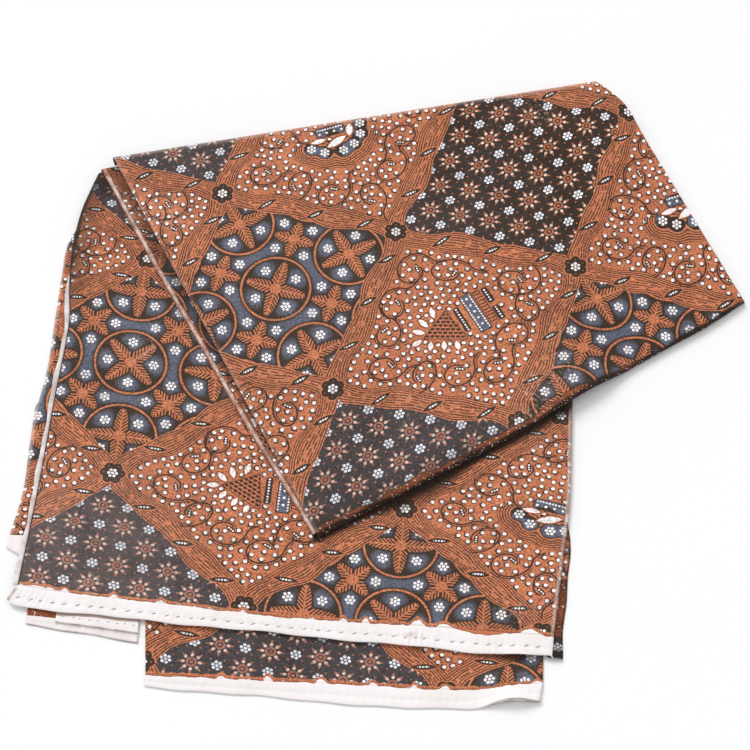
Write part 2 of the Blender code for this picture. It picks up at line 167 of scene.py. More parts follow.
def walked_along(line):
    """Length from a line's start to each of its points: the sum of the steps before it."""
    return np.r_[0, np.cumsum(np.linalg.norm(np.diff(line, axis=0), axis=1))]


def at_lengths(line, walked, wanted):
    """Points of a line at the wanted lengths, straight between its own points."""
    return np.stack([np.interp(wanted, walked, line[:, k]) for k in range(line.shape[1])], -1)


def patch(bottom, top, left, right, u, v):
    """Coons patch: the two ruled surfaces between facing outlines added, the corners' one taken off."""
    low, high = outline(bottom, u), outline(top, u)
    west, east = outline(left, v), outline(right, v)
    across, up = u[None, :, None], v[:, None, None]
    ruled_up = between(low[None], high[None], up)
    ruled_across = between(west[:, None], east[:, None], across)
    corners = between(between(low[0], low[-1], across), between(high[0], high[-1], across), up)
    return ruled_up + ruled_across - corners


def between(start, end, share):
    """Straight blend: (1 - share) start + share end."""
    return (1 - share) * start + share * end


def rounded(inward, radius):
    """Share of full height at a distance in from a folded edge: a quarter circle."""
    reach = np.clip(inward / radius, 0, 1)
    return np.sqrt(1 - (1 - reach) ** 2)


def smooth(x):
    """Soft step from 0 to 1: 3 x^2 - 2 x^3."""
    x = np.clip(x, 0, 1)
    return x * x * (3 - 2 * x)


def hump(x, middle, half):
    """Soft hump: 1 in the middle, a soft step down to 0 at half its width."""
    return smooth(1 - np.abs(x - middle) / half)


def lifts(table, x):
    """Sum of soft humps along a hem, each times its height."""
    return sum(height * hump(x, middle, half) for middle, half, height in table)


def creases(table, plane):
    """Sum of soft ridges: each a hump across its line, which sways by a sine of 6 mm, times soft
    steps over the first and last fifth of its length."""
    total = np.zeros(plane.shape[:-1])
    for x0, y0, x1, y1, half, height in table:
        start, run = np.array([x0, y0], float), np.array([x1 - x0, y1 - y0], float)
        length = np.linalg.norm(run)
        along = (plane - start) @ run / length ** 2
        across = (plane - start) @ np.array([-run[1], run[0]]) / length
        across = across + 6 * np.sin(along * 7 + x0)
        total += height * hump(across, 0, half) * smooth(along / 0.2) * smooth((1 - along) / 0.2)
    return total


def ripple(plane, height):
    """Low uneven waves: four sines in different directions, added."""
    x, y = plane[..., 0], plane[..., 1]
    waves = (np.sin(x / 31 + y / 57) + np.sin(y / 23 - x / 71 + 1) + 0.7 * np.sin(x / 17 - y / 29 + 2)
             + 0.5 * np.sin(x / 9.5 + y / 12 + 4))
    return height * waves / 3.2


def with_height(plane, height):
    """Points in space: a grid of x and y with its heights."""
    return np.dstack([plane, np.broadcast_to(height, plane.shape[:2])])


def straight(start, end):
    """Outline of a straight line, by its ends and middle."""
    return [start, ((start[0] + end[0]) / 2, (start[1] + end[1]) / 2), end]


def plain_patch(low, high, u, v):
    """Patch between a lower and an upper outline with straight ends."""
    return patch(low, high, straight(low[0], high[0]), straight(low[-1], high[-1]), u, v)


def chart(plane, lattice, shift=(0, 0)):
    """Lattice coordinates of layout points: the two lattice vectors' equations solved, and then
    the pulls' shifts averaged by a bell curve of how near each one is."""
    origin, along_s, along_t = (np.array(part, float) for part in lattice[:3])
    steps = (plane - origin) @ np.linalg.inv(np.stack([along_s, along_t]))
    table = np.array(lattice[3], float)
    away = ((plane[..., None, :] - table[:, :2]) ** 2).sum(-1)
    weight = np.exp(-away / (2 * PULL_REACH ** 2))
    pulled = (weight @ table[:, 2:]) / (PULL_REST + weight.sum(-1))[..., None]
    return steps + pulled + np.array(shift, float)


# Motifs of the two scroll cells, in millimetres from a cell's middle along s and t

# Stands for a distance that nothing reaches
FAR = 60.0
DOT_SPACING = 9.1
# Room between a dot's middle and the bands, the scrolls, the figure, and a leaf or petal
BAND_ROOM = 5.6
SCROLL_ROOM = 3.7
FIGURE_ROOM = 3.8
STAMP_ROOM = 3.0
# Rows of dots beside a scroll: distance to its left, less than 0 to its right, and the way along
# it to the first dot
SCROLL_ROWS = ((5.0, 3.0), (-5.0, 7.0))
# Rows of dots round a cell's edge: the first one's distance from the bands, and the spacing
FIRST_RING = 6.5
RING_SPACING = 8.6

# Scrolls: middle x and y, size, turn in degrees, hand, stem's length
VASE_SCROLLS = [(-8, 84, 15, 200, 1, 2.6), (27, 63, 15, 150, 1, 1.7), (84, 17, 15.5, 152, -1, 3.4),
                (80, -21, 13.5, 250, 1, 1.3), (48, -45, 14.5, 20, -1, 2.2),
                (12, -70, 15, 214, -1, 1.5), (-28, -54, 14, 200, -1, 1.7),
                (-62, -36, 14, 30, 1, 1.6), (-91, -7, 14.5, 160, -1, 1.5),
                (-71, 28, 13.5, 250, -1, 1.8), (-47, 55, 14.5, 215, 1, 2.2)]
ROCK_SCROLLS = [(4, 90, 15, 205, 1, 1.6), (40, 62, 15, 150, -1, 2.2), (72, 34, 14, 330, 1, 1.6),
                (98, 2, 13.5, 250, 1, 1.8), (66, -32, 15, 25, -1, 1.8), (34, -60, 14, 205, -1, 2.4),
                (-2, -84, 14.5, 80, 1, 1.4), (-40, -58, 15, 200, -1, 1.9),
                (-70, -30, 14.5, 30, 1, 1.8), (-98, 1, 13.5, 170, -1, 1.4),
                (-66, 36, 15, 150, 1, 2.0), (-34, 64, 14, 215, 1, 1.8)]
# Petals: middle x and y, turn in degrees, half length, half width
VASE_PETALS = [(-15, 26, 76, 7.6, 3.3), (-30, 19, 108, 7.6, 3.4), (-40, 12, 136, 7.6, 3.4),
               (-48, 1, 186, 7.0, 3.3), (-37, -10, 236, 6.2, 3.1), (-24, -17, 243, 6.2, 3.1),
               (-11, -24, 254, 6.2, 3.1)]
ROCK_PETALS = [(-22, 11, -8, 10, 3.2), (-3, 1, 10, 14, 4.7), (18, 9, 62, 9, 4.4)]
# The rock's lobes: middle x and y, radius
ROCK_LOBES = [(-34, 5, 8.5), (-22, -6, 8.5), (-1, -13, 9.5), (14, -11, 8.5), (27, -2, 8.5), (33, 11, 8)]
# Bars: middle x and y, half length along t and half width
VASE_BARS = [(9, 2, 16, 3.0), (26, 2.5, 25.5, 6.8), (49, 16, 10, 3.2), (48.5, -9.5, 9, 3.2)]
VASE_LADDER = [(39, 3.5, 25, 5.5)]
# The vase's mound: a point on each side, and the side's outward direction
MOUND_SIDES = [(-39, 2, -0.511, -0.859), (-39, 2, -0.457, 0.889), (3, -23, 0.993, 0.113)]


def turned(points, degrees):
    """Points turned about the origin: multiplied by the angle's rotation matrix."""
    angle = np.radians(degrees)
    spin = np.array([[np.cos(angle), -np.sin(angle)], [np.sin(angle), np.cos(angle)]])
    return np.asarray(points, float) @ spin.T


def scroll_line(x, y, size, turn, hand, stem):
    """A spiral whose radius shrinks from 1 + 0.23 stem to 0.45 sizes, led into by an arc of
    radius 0.9 that bends the other way; a longer stem starts further out and further back."""
    start = -90 - 38 * stem
    angle = np.linspace(start, 205, 44)
    radius = np.interp(angle, [start, -50, 50, 205], [1.0 + 0.23 * stem, 1.12, 1.0, 0.45])
    line = radius[:, None] * np.stack([np.cos(np.radians(angle)), np.sin(np.radians(angle))], -1)
    out = line[0] / np.linalg.norm(line[0])
    branch = [line[0] + out * 0.9 + turned(-out * 0.9, bend) for bend in np.linspace(80, 7, 12)]
    line = np.vstack([branch, line])
    uneven = 0.5 * np.sin(x * 0.13 + y * 0.07)
    line = line * np.array([1.16 + 0.18 * uneven, hand * (0.9 - 0.1 * uneven)])
    return turned(line, turn) * size + np.array([x, y])


def nearest(points, middles, sizes=1.0, block=20000):
    """Index of the middle nearest to each point, squared distances divided by squared sizes."""
    found = []
    for start in range(0, len(points), block):
        away = points[start:start + block, None] - middles[None]
        found.append(np.argmin((away ** 2).sum(-1) / np.square(sizes), axis=1))
    return np.concatenate(found) if found else np.zeros(0, int)


def line_field(points, lines, block=6000):
    """Signed distance to the nearest line, way to its nearer end, and plain distance: each point
    is dropped square onto every straight run of the lines, and the nearest run is kept."""
    starts = np.vstack([line[:-1] for line in lines])
    runs = np.vstack([np.diff(line, axis=0) for line in lines])
    lengths = np.linalg.norm(runs, axis=1)
    before = np.concatenate([walked_along(line)[:-1] for line in lines])
    whole = np.concatenate([np.full(len(line) - 1, walked_along(line)[-1]) for line in lines])
    first = np.concatenate([np.arange(len(line) - 1) == 0 for line in lines])
    last = np.concatenate([np.arange(len(line) - 1) == len(line) - 2 for line in lines])
    out = []
    for start in range(0, len(points), block):
        away = points[start:start + block, None] - starts[None]
        share = (away * runs).sum(-1) / lengths ** 2
        held = np.clip(share, 0, 1)
        gap = np.linalg.norm(away - held[..., None] * runs, axis=-1)
        best = np.argmin(gap, axis=1)
        row = np.arange(len(best))
        cross = runs[best, 0] * away[row, best, 1] - runs[best, 1] * away[row, best, 0]
        share = share[row, best]
        share = np.where((share < 0) & ~first[best], 0, share)
        share = np.where((share > 1) & ~last[best], 1, share)
        along = before[best] + share * lengths[best]
        gap = gap[row, best]
        signed = np.where(cross < 0, -gap, gap)
        out.append(np.stack([signed, np.minimum(along, whole[best] - along), gap], -1))
    return np.vstack(out)


def bar_distance(points, bars):
    """Distance outside the nearest upright bar, less than 0 inside it: the length of the steps
    past its sides, or the larger of the two steps where both are less than 0."""
    bars = np.array(bars, float)
    away = np.abs(points[:, None] - bars[None, :, :2]) - bars[None, :, [3, 2]]
    outside = np.linalg.norm(np.maximum(away, 0), axis=-1)
    return (outside + np.minimum(away.max(-1), 0)).min(1)


def lobe_distance(points, lobes):
    """Distance outside a chain of discs, run together softly: -2 log of the sum of exp(-d / 2)."""
    lobes = np.array(lobes, float)
    away = np.linalg.norm(points[:, None] - lobes[None, :, :2], axis=-1) - lobes[None, :, 2]
    return -2.0 * np.log(np.exp(-away / 2.0).sum(1))


def mound_distance(points):
    """Distance outside the vase's mound: the largest of the distances past its three sides."""
    sides = np.array(MOUND_SIDES)
    return ((points[:, None] - sides[:, :2]) * sides[:, 2:]).sum(-1).max(1)


def band_shape(share, sine, cosine):
    """How far a band between cells sways, and half its width, at a share of a cell's side: two
    sines, and a swelling sine with three scallops. It serves points and shaders alike."""
    wave = sine(share * (2 * np.pi) + 0.6) * 1.8 + sine(share * (4 * np.pi)) * 2.5
    half = cosine(share * (6 * np.pi)) * 1.8 + sine(share * np.pi) * 2.2 + 8.8
    return wave, half


def band_distance(points):
    """Distance inside a cell from the wavy bands round it, and -9 outside the cell."""
    a = (points[:, 0] / S_STEP + points[:, 1] / T_STEP) / 2 + 0.5
    b = (points[:, 0] / S_STEP - points[:, 1] / T_STEP) / 2 + 0.5
    a_off, b_off = a - np.round(a), b - np.round(b)
    on_a = np.abs(a_off) < np.abs(b_off)
    off, run = np.where(on_a, a_off, b_off), np.where(on_a, b, a)
    wave, half = band_shape(run % 1, np.sin, np.cos)
    inside = np.abs(off * SIDE + wave) - half
    return np.where((np.abs(a - 0.5) < 0.5) & (np.abs(b - 0.5) < 0.5), inside, -9.0)


def place_dots(lines, stamps, figure):
    """Middles of the white dots: rows beside the scrolls, then rows round the cell's edge inwards.
    Each spot is kept if it clears the bands, scrolls, stamps, figure and the dots kept before it."""
    rows = []
    for line in lines:
        length = walked_along(line)
        for side, start in SCROLL_ROWS:
            at = np.arange(start, length[-1], DOT_SPACING)
            run = at_lengths(line, length, at + 1) - at_lengths(line, length, at - 1)
            run /= np.linalg.norm(run, axis=1, keepdims=True) + 1e-9
            rows.append(at_lengths(line, length, at) + side * np.stack([-run[:, 1], run[:, 0]], -1))
    across, up = np.meshgrid(np.arange(-150, 151, 1.7), np.arange(-137, 138, 1.7))
    field = np.stack([across.ravel(), up.ravel()], -1)
    inside = band_distance(field)
    inside[inside < 0] = 99
    ring = (inside - FIRST_RING) / RING_SPACING
    order = np.round(ring) + 0.45 * np.abs(ring - np.round(ring))
    turn = np.arctan2(field[:, 1], field[:, 0])
    wanted = np.vstack(rows + [field[np.lexsort((turn, np.round(order, 1)))]])
    wanted = wanted[band_distance(wanted) > BAND_ROOM]
    wanted = wanted[line_field(wanted, lines)[:, 2] > SCROLL_ROOM]
    wanted = wanted[figure(wanted) > FIGURE_ROOM]
    for x, y, turn, half, width in stamps:
        reach = np.array([half, width]) + STAMP_ROOM
        local = turned(wanted - np.array([x, y]), -turn) / reach
        wanted = wanted[(local ** 2).sum(1) > 1]
    kept = np.zeros((0, 2))
    for spot in wanted:
        if len(kept) == 0 or ((kept - spot) ** 2).sum(1).min() > (DOT_SPACING * 0.93) ** 2:
            kept = np.vstack([kept, spot])
    return kept


def scroll_motif(scrolls, petals, figure):
    """Everything placed in a scroll cell: lines, a leaf inside each scroll, petals and dots."""
    lines = [scroll_line(*row) for row in scrolls]
    leaves = []
    for x, y, size, turn, hand, stem in scrolls:
        spot = turned([(-0.38 * size, 0.1 * hand * size)], turn)[0] + np.array([x, y])
        leaves.append((*spot, turn + 58 * hand, 7.0, 2.7))
    dots = place_dots(lines, leaves + petals, figure)
    turns = np.random.default_rng(2).uniform(0, 2 * np.pi, len(dots))
    return {"lines": lines, "leaves": np.array(leaves), "petals": np.array(petals, float),
            "dots": dots, "turns": turns}


def vase_figure(points):
    """Distance outside the vase's bars and its mound."""
    return np.minimum(bar_distance(points, VASE_BARS), mound_distance(points))


def vase_room(points):
    """Distance outside the vase, its bars and the ladder between them."""
    return np.minimum(vase_figure(points), bar_distance(points, VASE_LADDER))


def rock_figure(points):
    """Distance outside the rock's lobes and the rounded bar that lies on it, turned by 10 degrees."""
    bar = bar_distance(turned(points - np.array([-3, 18]), 10), [(0, 0, 2.5, 13.5)]) - 4.0
    return np.minimum(lobe_distance(points, ROCK_LOBES), bar)


def rock_room(points):
    """Distance outside the rock and the echo lines round its foot."""
    echo = 13.0 * smooth((6 - points[:, 1] - 0.25 * points[:, 0]) / 14)
    return rock_figure(points) - echo


VASE = scroll_motif(VASE_SCROLLS, VASE_PETALS, vase_room)
ROCK = scroll_motif(ROCK_SCROLLS, ROCK_PETALS, rock_room)


def cell_places(steps):
    """Kind of the lozenge that each lattice point lies in, and its place from the middle in mm.

    Cells are the unit squares of half the sum and half the difference of the two coordinates.
    Kinds are 0 stars, 1 ferns, 2 vase and 3 rock; they alternate along both rows of the lattice.
    """
    a, b = (steps[..., 0] + steps[..., 1]) / 2, (steps[..., 0] - steps[..., 1]) / 2
    a_mid, b_mid = np.floor(a) + 0.5, np.floor(b) + 0.5
    i, j = np.round(a_mid + b_mid), np.round(a_mid - b_mid)
    even = np.mod(i, 2) == 0
    ferns = np.mod(i / 2 + (j - 1) / 2, 2) == 0
    vase = np.mod((i - 1) / 2 + j / 2, 2) == 0
    kind = np.where(even, np.where(ferns, 1, 0), np.where(vase, 2, 3))
    place = np.stack([(steps[..., 0] - i) * S_STEP, (steps[..., 1] - j) * T_STEP], -1)
    return kind, place


def stamp_field(middles, corners, stamps):
    """Each face's corners by the stamp nearest to its middle: the place from the stamp, turned
    back by the stamp's turn and divided by its half length and half width."""
    best = nearest(middles, stamps[:, :2], stamps[:, 3])
    row = stamps[best][:, None]
    angle = np.radians(row[..., 2])
    away = corners - row[..., :2]
    along = (away[..., 0] * np.cos(angle) + away[..., 1] * np.sin(angle)) / row[..., 3]
    across = (-away[..., 0] * np.sin(angle) + away[..., 1] * np.cos(angle)) / row[..., 4]
    return np.stack([along, across, np.zeros_like(along)], -1)


def face_fields(steps, faces):
    """Cell kinds of the faces, and at their corners the place from the nearest dot, leaf and petal.
    The nearest one is picked once for a face, so that each motif keeps its shape across it."""
    corners = steps[faces]
    middles = corners.mean(1)
    kind, middle_place = cell_places(middles)
    place = middle_place[:, None] + (corners - middles[:, None]) * np.array([S_STEP, T_STEP])
    fields = {name: np.full((len(faces), 4, 3), FAR) for name in ("dot", "leaf", "petal", "lobe")}
    for number, motif in ((2, VASE), (3, ROCK)):
        inside = kind == number
        if not inside.any():
            continue
        centre, spots = middle_place[inside], place[inside]
        best = nearest(centre, motif["dots"])
        away = spots - motif["dots"][best][:, None]
        turn = np.broadcast_to(motif["turns"][best][:, None, None], away.shape[:2] + (1,))
        fields["dot"][inside] = np.concatenate([away, turn], -1)
        fields["leaf"][inside] = stamp_field(centre, spots, motif["leaves"])
        fields["petal"][inside] = stamp_field(centre, spots, motif["petals"])
        if number == 3:
            lobes = np.array(ROCK_LOBES, float)[:, :2]
            away = spots - lobes[nearest(centre, lobes)][:, None]
            fields["lobe"][inside] = np.concatenate([away, np.zeros_like(away[..., :1])], -1)
    return kind, fields


def point_fields(steps):
    """Cell kind of each point, and its distances from the scroll lines and the figure."""
    kind, place = cell_places(steps)
    scroll, figure = np.full((len(steps), 3), FAR), np.full(len(steps), FAR)
    for number, motif, shape in ((2, VASE, vase_figure), (3, ROCK, rock_figure)):
        inside = kind == number
        if inside.any():
            scroll[inside] = line_field(place[inside], motif["lines"])
            figure[inside] = shape(place[inside])
    return kind, scroll, figure


# Materials


def math_node(operation):
    """A method that adds one Math node, with the socket itself first."""
    return lambda self, *others: self.graph.node(
        "ShaderNodeMath", dict(enumerate((self, *others))), operation=operation)


class Value:
    """A shader socket; arithmetic on it adds Math nodes."""

    def __init__(self, graph, socket):
        self.graph, self.socket = graph, socket

    __add__ = __radd__ = math_node("ADD")
    __mul__ = __rmul__ = math_node("MULTIPLY")
    __sub__ = math_node("SUBTRACT")
    __truediv__ = math_node("DIVIDE")
    __abs__ = math_node("ABSOLUTE")
    __lt__ = math_node("LESS_THAN")
    __gt__ = math_node("GREATER_THAN")
    low = math_node("MINIMUM")
    high = math_node("MAXIMUM")
    sin = math_node("SINE")
    cos = math_node("COSINE")
    root = math_node("SQRT")
    whole = math_node("ROUND")
    floor = math_node("FLOOR")
    fract = math_node("FRACT")
    angle = math_node("ARCTAN2")

    def __rsub__(self, other):
        return (self * -1) + other

    def clamp(self):
        """The value held between 0 and 1."""
        return self.graph.node("ShaderNodeClamp", {0: self})

    def ease(self, start, end):
        """Soft step from 0 at start to 1 at end."""
        return self.graph.node("ShaderNodeMapRange", {0: self, 1: start, 2: end},
                               interpolation_type="SMOOTHSTEP")


class Graph:
    """A material's nodes, all added by one method."""

    def __init__(self, name):
        self.material = bpy.data.materials.new(name)
        self.material.use_nodes = True
        self.tree = self.material.node_tree
        self.shader = self.tree.nodes["Principled BSDF"]

    def node(self, kind, values=None, output=0, **settings):
        """One node: values go to its sockets, as links or constants, and settings to the node."""
        made = self.tree.nodes.new(kind)
        for name, value in settings.items():
            setattr(made, name, value)
        for socket, value in (values or {}).items():
            if isinstance(value, Value):
                self.tree.links.new(value.socket, made.inputs[socket])
            else:
                made.inputs[socket].default_value = value
        return Value(self, made.outputs[output])

    def mix(self, share, first, second):
        """Blend of two colours."""
        first = (*first, 1) if isinstance(first, tuple) else first
        second = (*second, 1) if isinstance(second, tuple) else second
        return self.node("ShaderNodeMix", {0: share, 6: first, 7: second}, 2, data_type="RGBA")

    def over(self, colour, *layers):
        """A colour with tones laid on it in turn, each by its mask."""
        for mask, tone in layers:
            colour = self.mix(mask, colour, tone)
        return colour

    def parts(self, vector):
        """X, Y and Z of a vector."""
        outputs = self.node("ShaderNodeSeparateXYZ", {0: vector}).socket.node.outputs
        return [Value(self, outputs[k]) for k in range(3)]

    def vector(self, x, y, z=0.0):
        """A vector from its parts."""
        return self.node("ShaderNodeCombineXYZ", {0: x, 1: y, 2: z})

    def place(self):
        """Object coordinates, in metres."""
        return self.node("ShaderNodeTexCoord", output=3)

    def noise(self, place, scale, detail=2.0):
        """Noise of so many features a unit."""
        return self.node("ShaderNodeTexNoise", {"Vector": place, "Scale": scale, "Detail": detail})

    def attribute(self, name):
        """A number stored at the points."""
        return self.node("ShaderNodeAttribute", output=2, attribute_name=name)

    def attribute_parts(self, name):
        """Three numbers stored at the points or corners."""
        return self.parts(self.node("ShaderNodeAttribute", output=1, attribute_name=name))

    def finish(self, colour, roughness, bump=None, strength=0.4, depth=0.0004, sheen=0.05):
        """Joins the colour and the bump's height to the shader and sets its constants."""
        tree, inputs = self.tree, self.shader.inputs
        tree.links.new(colour.socket, inputs["Base Color"])
        if bump is not None:
            normal = self.node("ShaderNodeBump", {"Strength": strength, "Distance": depth, "Height": bump})
            tree.links.new(normal.socket, inputs["Normal"])
        inputs["Roughness"].default_value = roughness
        inputs["Sheen Weight"].default_value = sheen
        inputs["Sheen Roughness"].default_value = 0.6
        inputs["Specular IOR Level"].default_value = 0.18
        return self.material


BROWN = (0.545, 0.182, 0.084)
DEEP_BROWN = (0.30, 0.095, 0.048)
STAR_BROWN = (0.44, 0.15, 0.072)
BORDER_BROWN = (0.26, 0.070, 0.022)
HATCH = (0.125, 0.050, 0.030)
LINE = (0.055, 0.026, 0.018)
CHARCOAL = (0.040, 0.024, 0.015)
SHADE = (0.02, 0.012, 0.009)
SLATE = (0.112, 0.120, 0.162)
WHITE = (0.93, 0.88, 0.87)
COOL_WHITE = (0.90, 0.90, 0.97)
PEACH = (0.80, 0.58, 0.48)
# A light tone for rubbed wear, also used for painted highlights on fold crests
RUBBED_AND_LIT = (0.82, 0.66, 0.59)
UNDYED = (0.95, 0.905, 0.90)
YELLOWED = (0.83, 0.76, 0.75)
# Stain colour, also used for painted shade on the hems
STAIN_AND_SHADE = (0.42, 0.31, 0.27)

# The print's lengths in millimetres
HATCH_SPACING = 3.2
STAR_PITCH = 33.8
FERN_PITCH = 92.0
FERN_RING = 38.5
SCALE_WIDTH = 5.6
SCALE_HEIGHT = 4.6
DOT_RING = 4.0
RING_DOT = 1.62
MIDDLE_DOT = 1.6
BEAD = 1.15
# Spindles along a band, in shares of a cell's side
SPINDLE_MIDDLE = 0.54
SPINDLE_SPACING = 0.28
# The root of one half turns a place by 45 degrees
ROOT_HALF = 0.70711
# The weave's waves in a metre, times 2 pi
WEAVE = 5200


def hypot(x, y):
    """Distance from the origin."""
    return (x * x + y * y).root()


def fold_angle(x, y, count):
    """Distance from the middle, and place in one of count equal wedges with its middle along x."""
    r = hypot(x, y)
    turn = y.angle(x) * (count / (2 * np.pi))
    turn = (turn - turn.whole()) * (2 * np.pi / count)
    return r, r * turn.cos(), r * turn.sin()


def repeated(x, spacing, start=0.0):
    """Place from the nearest of a row of points."""
    return ((x / spacing + start).fract() - 0.5) * spacing


def lens(along, across):
    """A pointed leaf is where this is less than 1: along squared plus across."""
    return along * along + abs(across)


def seven_dots(x, y):
    """Mask of a ring of six dots with one in the middle."""
    r, along, across = fold_angle(x, y, 6)
    return (hypot(along - DOT_RING, across) < RING_DOT).high(r < MIDDLE_DOT)


def lattice_steps(g):
    """Place in the print in metres, and its lattice coordinates along s and t."""
    place = g.node("ShaderNodeUVMap", uv_map="Print")
    u, v, _ = g.parts(place)
    return place, u * (1000 / S_STEP), v * (1000 / T_STEP)


def cell_frame(g):
    """Place from the middle of the cell, along s and t and along the cell's two sides."""
    _, i, j = lattice_steps(g)
    a, b = ((i + j) * 0.5).fract() - 0.5, ((i - j) * 0.5).fract() - 0.5
    return (a + b) * S_STEP, (a - b) * T_STEP, a * SIDE, b * SIDE


def nodes_and_bands(g, cell_colour, echoed=False):
    """Adds what every cell shares: wavy bands with broken hatch and spindles, and node flowers.
    Brown cells also have two thin lines that follow the band."""
    place, i, j = lattice_steps(g)
    a, b = (i + j) * 0.5, (i - j) * 0.5
    a_off, b_off = a - a.whole(), b - b.whole()
    on_a = abs(a_off) < abs(b_off)
    off = on_a * a_off + (1 - on_a) * b_off
    run = on_a * b + (1 - on_a) * a

    share = run.fract()
    wave, half = band_shape(share, Value.sin, Value.cos)
    middle = off * SIDE + wave + (g.noise(place, 34.0, 1.0) - 0.5) * 5.0
    edge = abs(middle) - half
    in_band = edge < 0
    rim_lines = (abs(edge + 1.9) < 0.6).high(abs(edge + 4.6) < 0.45)
    row = middle / HATCH_SPACING
    dash = g.noise(g.vector(run * 26, row.floor() * 3.7), 1.0, 0.0) > 0.43
    hatch = (abs(row.fract() - 0.5) < 0.23) * dash * (edge < -5.2)
    if echoed:
        lines = (abs(edge - 0.5) < 0.5).high(abs(edge - 3.1) < 0.42)
        cell_colour = g.mix(lines, cell_colour, LINE)
    colour = g.over(cell_colour, (in_band, BROWN), (in_band * hatch, HATCH), (in_band * rim_lines, LINE))

    step = share - SPINDLE_MIDDLE
    step = step - (step / SPINDLE_SPACING).whole().high(-1.0).low(1.0) * SPINDLE_SPACING
    lean = middle / SIDE
    along, across = (lean + step) * S_STEP, (lean - step) * T_STEP
    shape = lens(along / 12.5, across / 3.5)
    beads = (hypot(repeated(along, 3.1, 0.5), across) < BEAD) * (abs(along) < 5.6)
    colour = g.over(colour, ((shape < 1.35) * in_band, BROWN), ((shape < 1) * in_band, CHARCOAL),
                    (beads * in_band, WHITE))

    x, y = (a_off + b_off) * S_STEP, (a_off - b_off) * T_STEP
    r, wedge_x, wedge_y = fold_angle(x, y, 6)
    flower = (hypot(wedge_x - 8.0, wedge_y) - 4.9).low(r - 8.6)
    return g.over(colour, (flower < 1.6, BROWN), (flower < 0.3, CHARCOAL),
                  (hypot(wedge_x - 9.4, wedge_y) < 0.9, DEEP_BROWN), (seven_dots(x, y), WHITE))


def weave(x, y):
    """Height of a plain weave: crossed sines."""
    return (x * WEAVE).sin() * (y * WEAVE).sin()


def printed(g, colour):
    """Finishes a printed material: bare cloth at the hem, flecked border, uneven dye, worn and
    faded places with painted highlights on fold crests, painted shade in folds, gaps and under
    layers, and the weave."""
    place = g.place()
    x, y, _ = g.parts(place)
    ragged = g.noise(place, 170.0) * 5.0 - 2.6
    bare = g.attribute("bare")
    border = g.attribute("border")
    fleck = (g.noise(place, 420.0, 0.0) > 0.7) * (border > 0.0)
    colour = g.over(colour, (bare < ragged + 3.2, BROWN), (bare < ragged + 0.5, DEEP_BROWN),
                    (border > 0.0, BORDER_BROWN), (fleck * 0.8, PEACH), (abs(border) < 0.5, LINE))
    dye = g.noise(place, 560.0, 3.0) * 2.8 + g.noise(place, 24.0) * 0.6 - 0.7
    colour = g.node("ShaderNodeVectorMath", {0: colour, 1: g.vector(dye, dye, dye)},
                    operation="MULTIPLY")
    speckle = g.noise(place, 300.0)
    # Rub mask: wear and faded patches, plus painted highlights on fold crests and the head fold
    wear_and_highlight = speckle.ease(0.3, 0.5) * 0.55 + g.noise(place, 30.0).ease(0.35, 0.6) * 0.4 + 0.2
    patches = g.noise(place, 9.0).ease(0.6, 0.75) * speckle.ease(0.5, 0.75) * 0.4
    # It also rises a little everywhere but towards the upper right corner
    rub_and_highlight = g.attribute("wear_and_highlight") * wear_and_highlight + patches + (x + y).ease(0.42, 0.05) * 0.012
    # Painted shade: the dark number blends toward SHADE in folds, gaps and under the layers above
    colour = g.over(colour, (rub_and_highlight.clamp(), RUBBED_AND_LIT), (bare < ragged, UNDYED),
                    (g.attribute("dark") * (1 - fleck * 0.6), SHADE))
    height = weave(x, y) * 0.3 + g.noise(place, 260.0, 3.0)
    return g.finish(colour, 0.86, height, 0.35, 0.0003)


def stars_material():
    """Charcoal ground with eight-rayed stars and seven-dot flowers in turn."""
    g = Graph("print_stars")
    _, _, a, b = cell_frame(g)
    a, b = (a - 2.0) / STAR_PITCH, (b + 6.5) / STAR_PITCH
    r, along, across = fold_angle((a - a.whole()) * STAR_PITCH, (b - b.whole()) * STAR_PITCH, 8)
    tail = (abs(across) < 1.7 - (along - 9) * 0.32) * (along > 8.6) * (along < 13.4)
    ring = abs(r - 4.15) < 1.05
    drop = hypot((along - 7.9) / 1.75, across / 1.6) < 1
    x, y = (a.fract() - 0.5) * STAR_PITCH, (b.fract() - 0.5) * STAR_PITCH
    _, side_x, side_y = fold_angle(x, y, 4)
    colour = g.over(CHARCOAL, (ring.high(tail), STAR_BROWN), (r < 1.7, STAR_BROWN), (drop, PEACH),
                    (hypot(side_x - 9.2, side_y) < 1.0, STAR_BROWN), (seven_dots(x, y), COOL_WHITE))
    place = g.place()
    x, y, _ = g.parts(place)
    speckle = g.noise(place, 420.0, 1.0).ease(0.5, 0.75) * g.noise(place, 12.0, 1.0).ease(0.3, 0.7)
    # The ground greys toward slate by a speckle, and a little everywhere but towards the upper right
    # corner
    colour = g.mix(speckle * 0.35 + (x + y).ease(0.42, 0.05) * 0.2, colour, SLATE)
    return printed(g, nodes_and_bands(g, colour))


def fern_arm(x, y, reach):
    """Masks of a four-armed fern and of the gaps between its barbs, and a soft step away from it."""
    along, across = abs(x).high(abs(y)), abs(x).low(abs(y))
    share = along / reach
    width = 7.6 - share * share * share * 5.2
    leaf = (across < width) * (along < reach)
    barb = ((along - across) / 4.4).fract() < 0.46
    dark = barb * (across > 0.9) * (along > 5)
    away = (across - width).high(along - reach).ease(0.5, 5.0)
    return leaf, leaf * dark, away


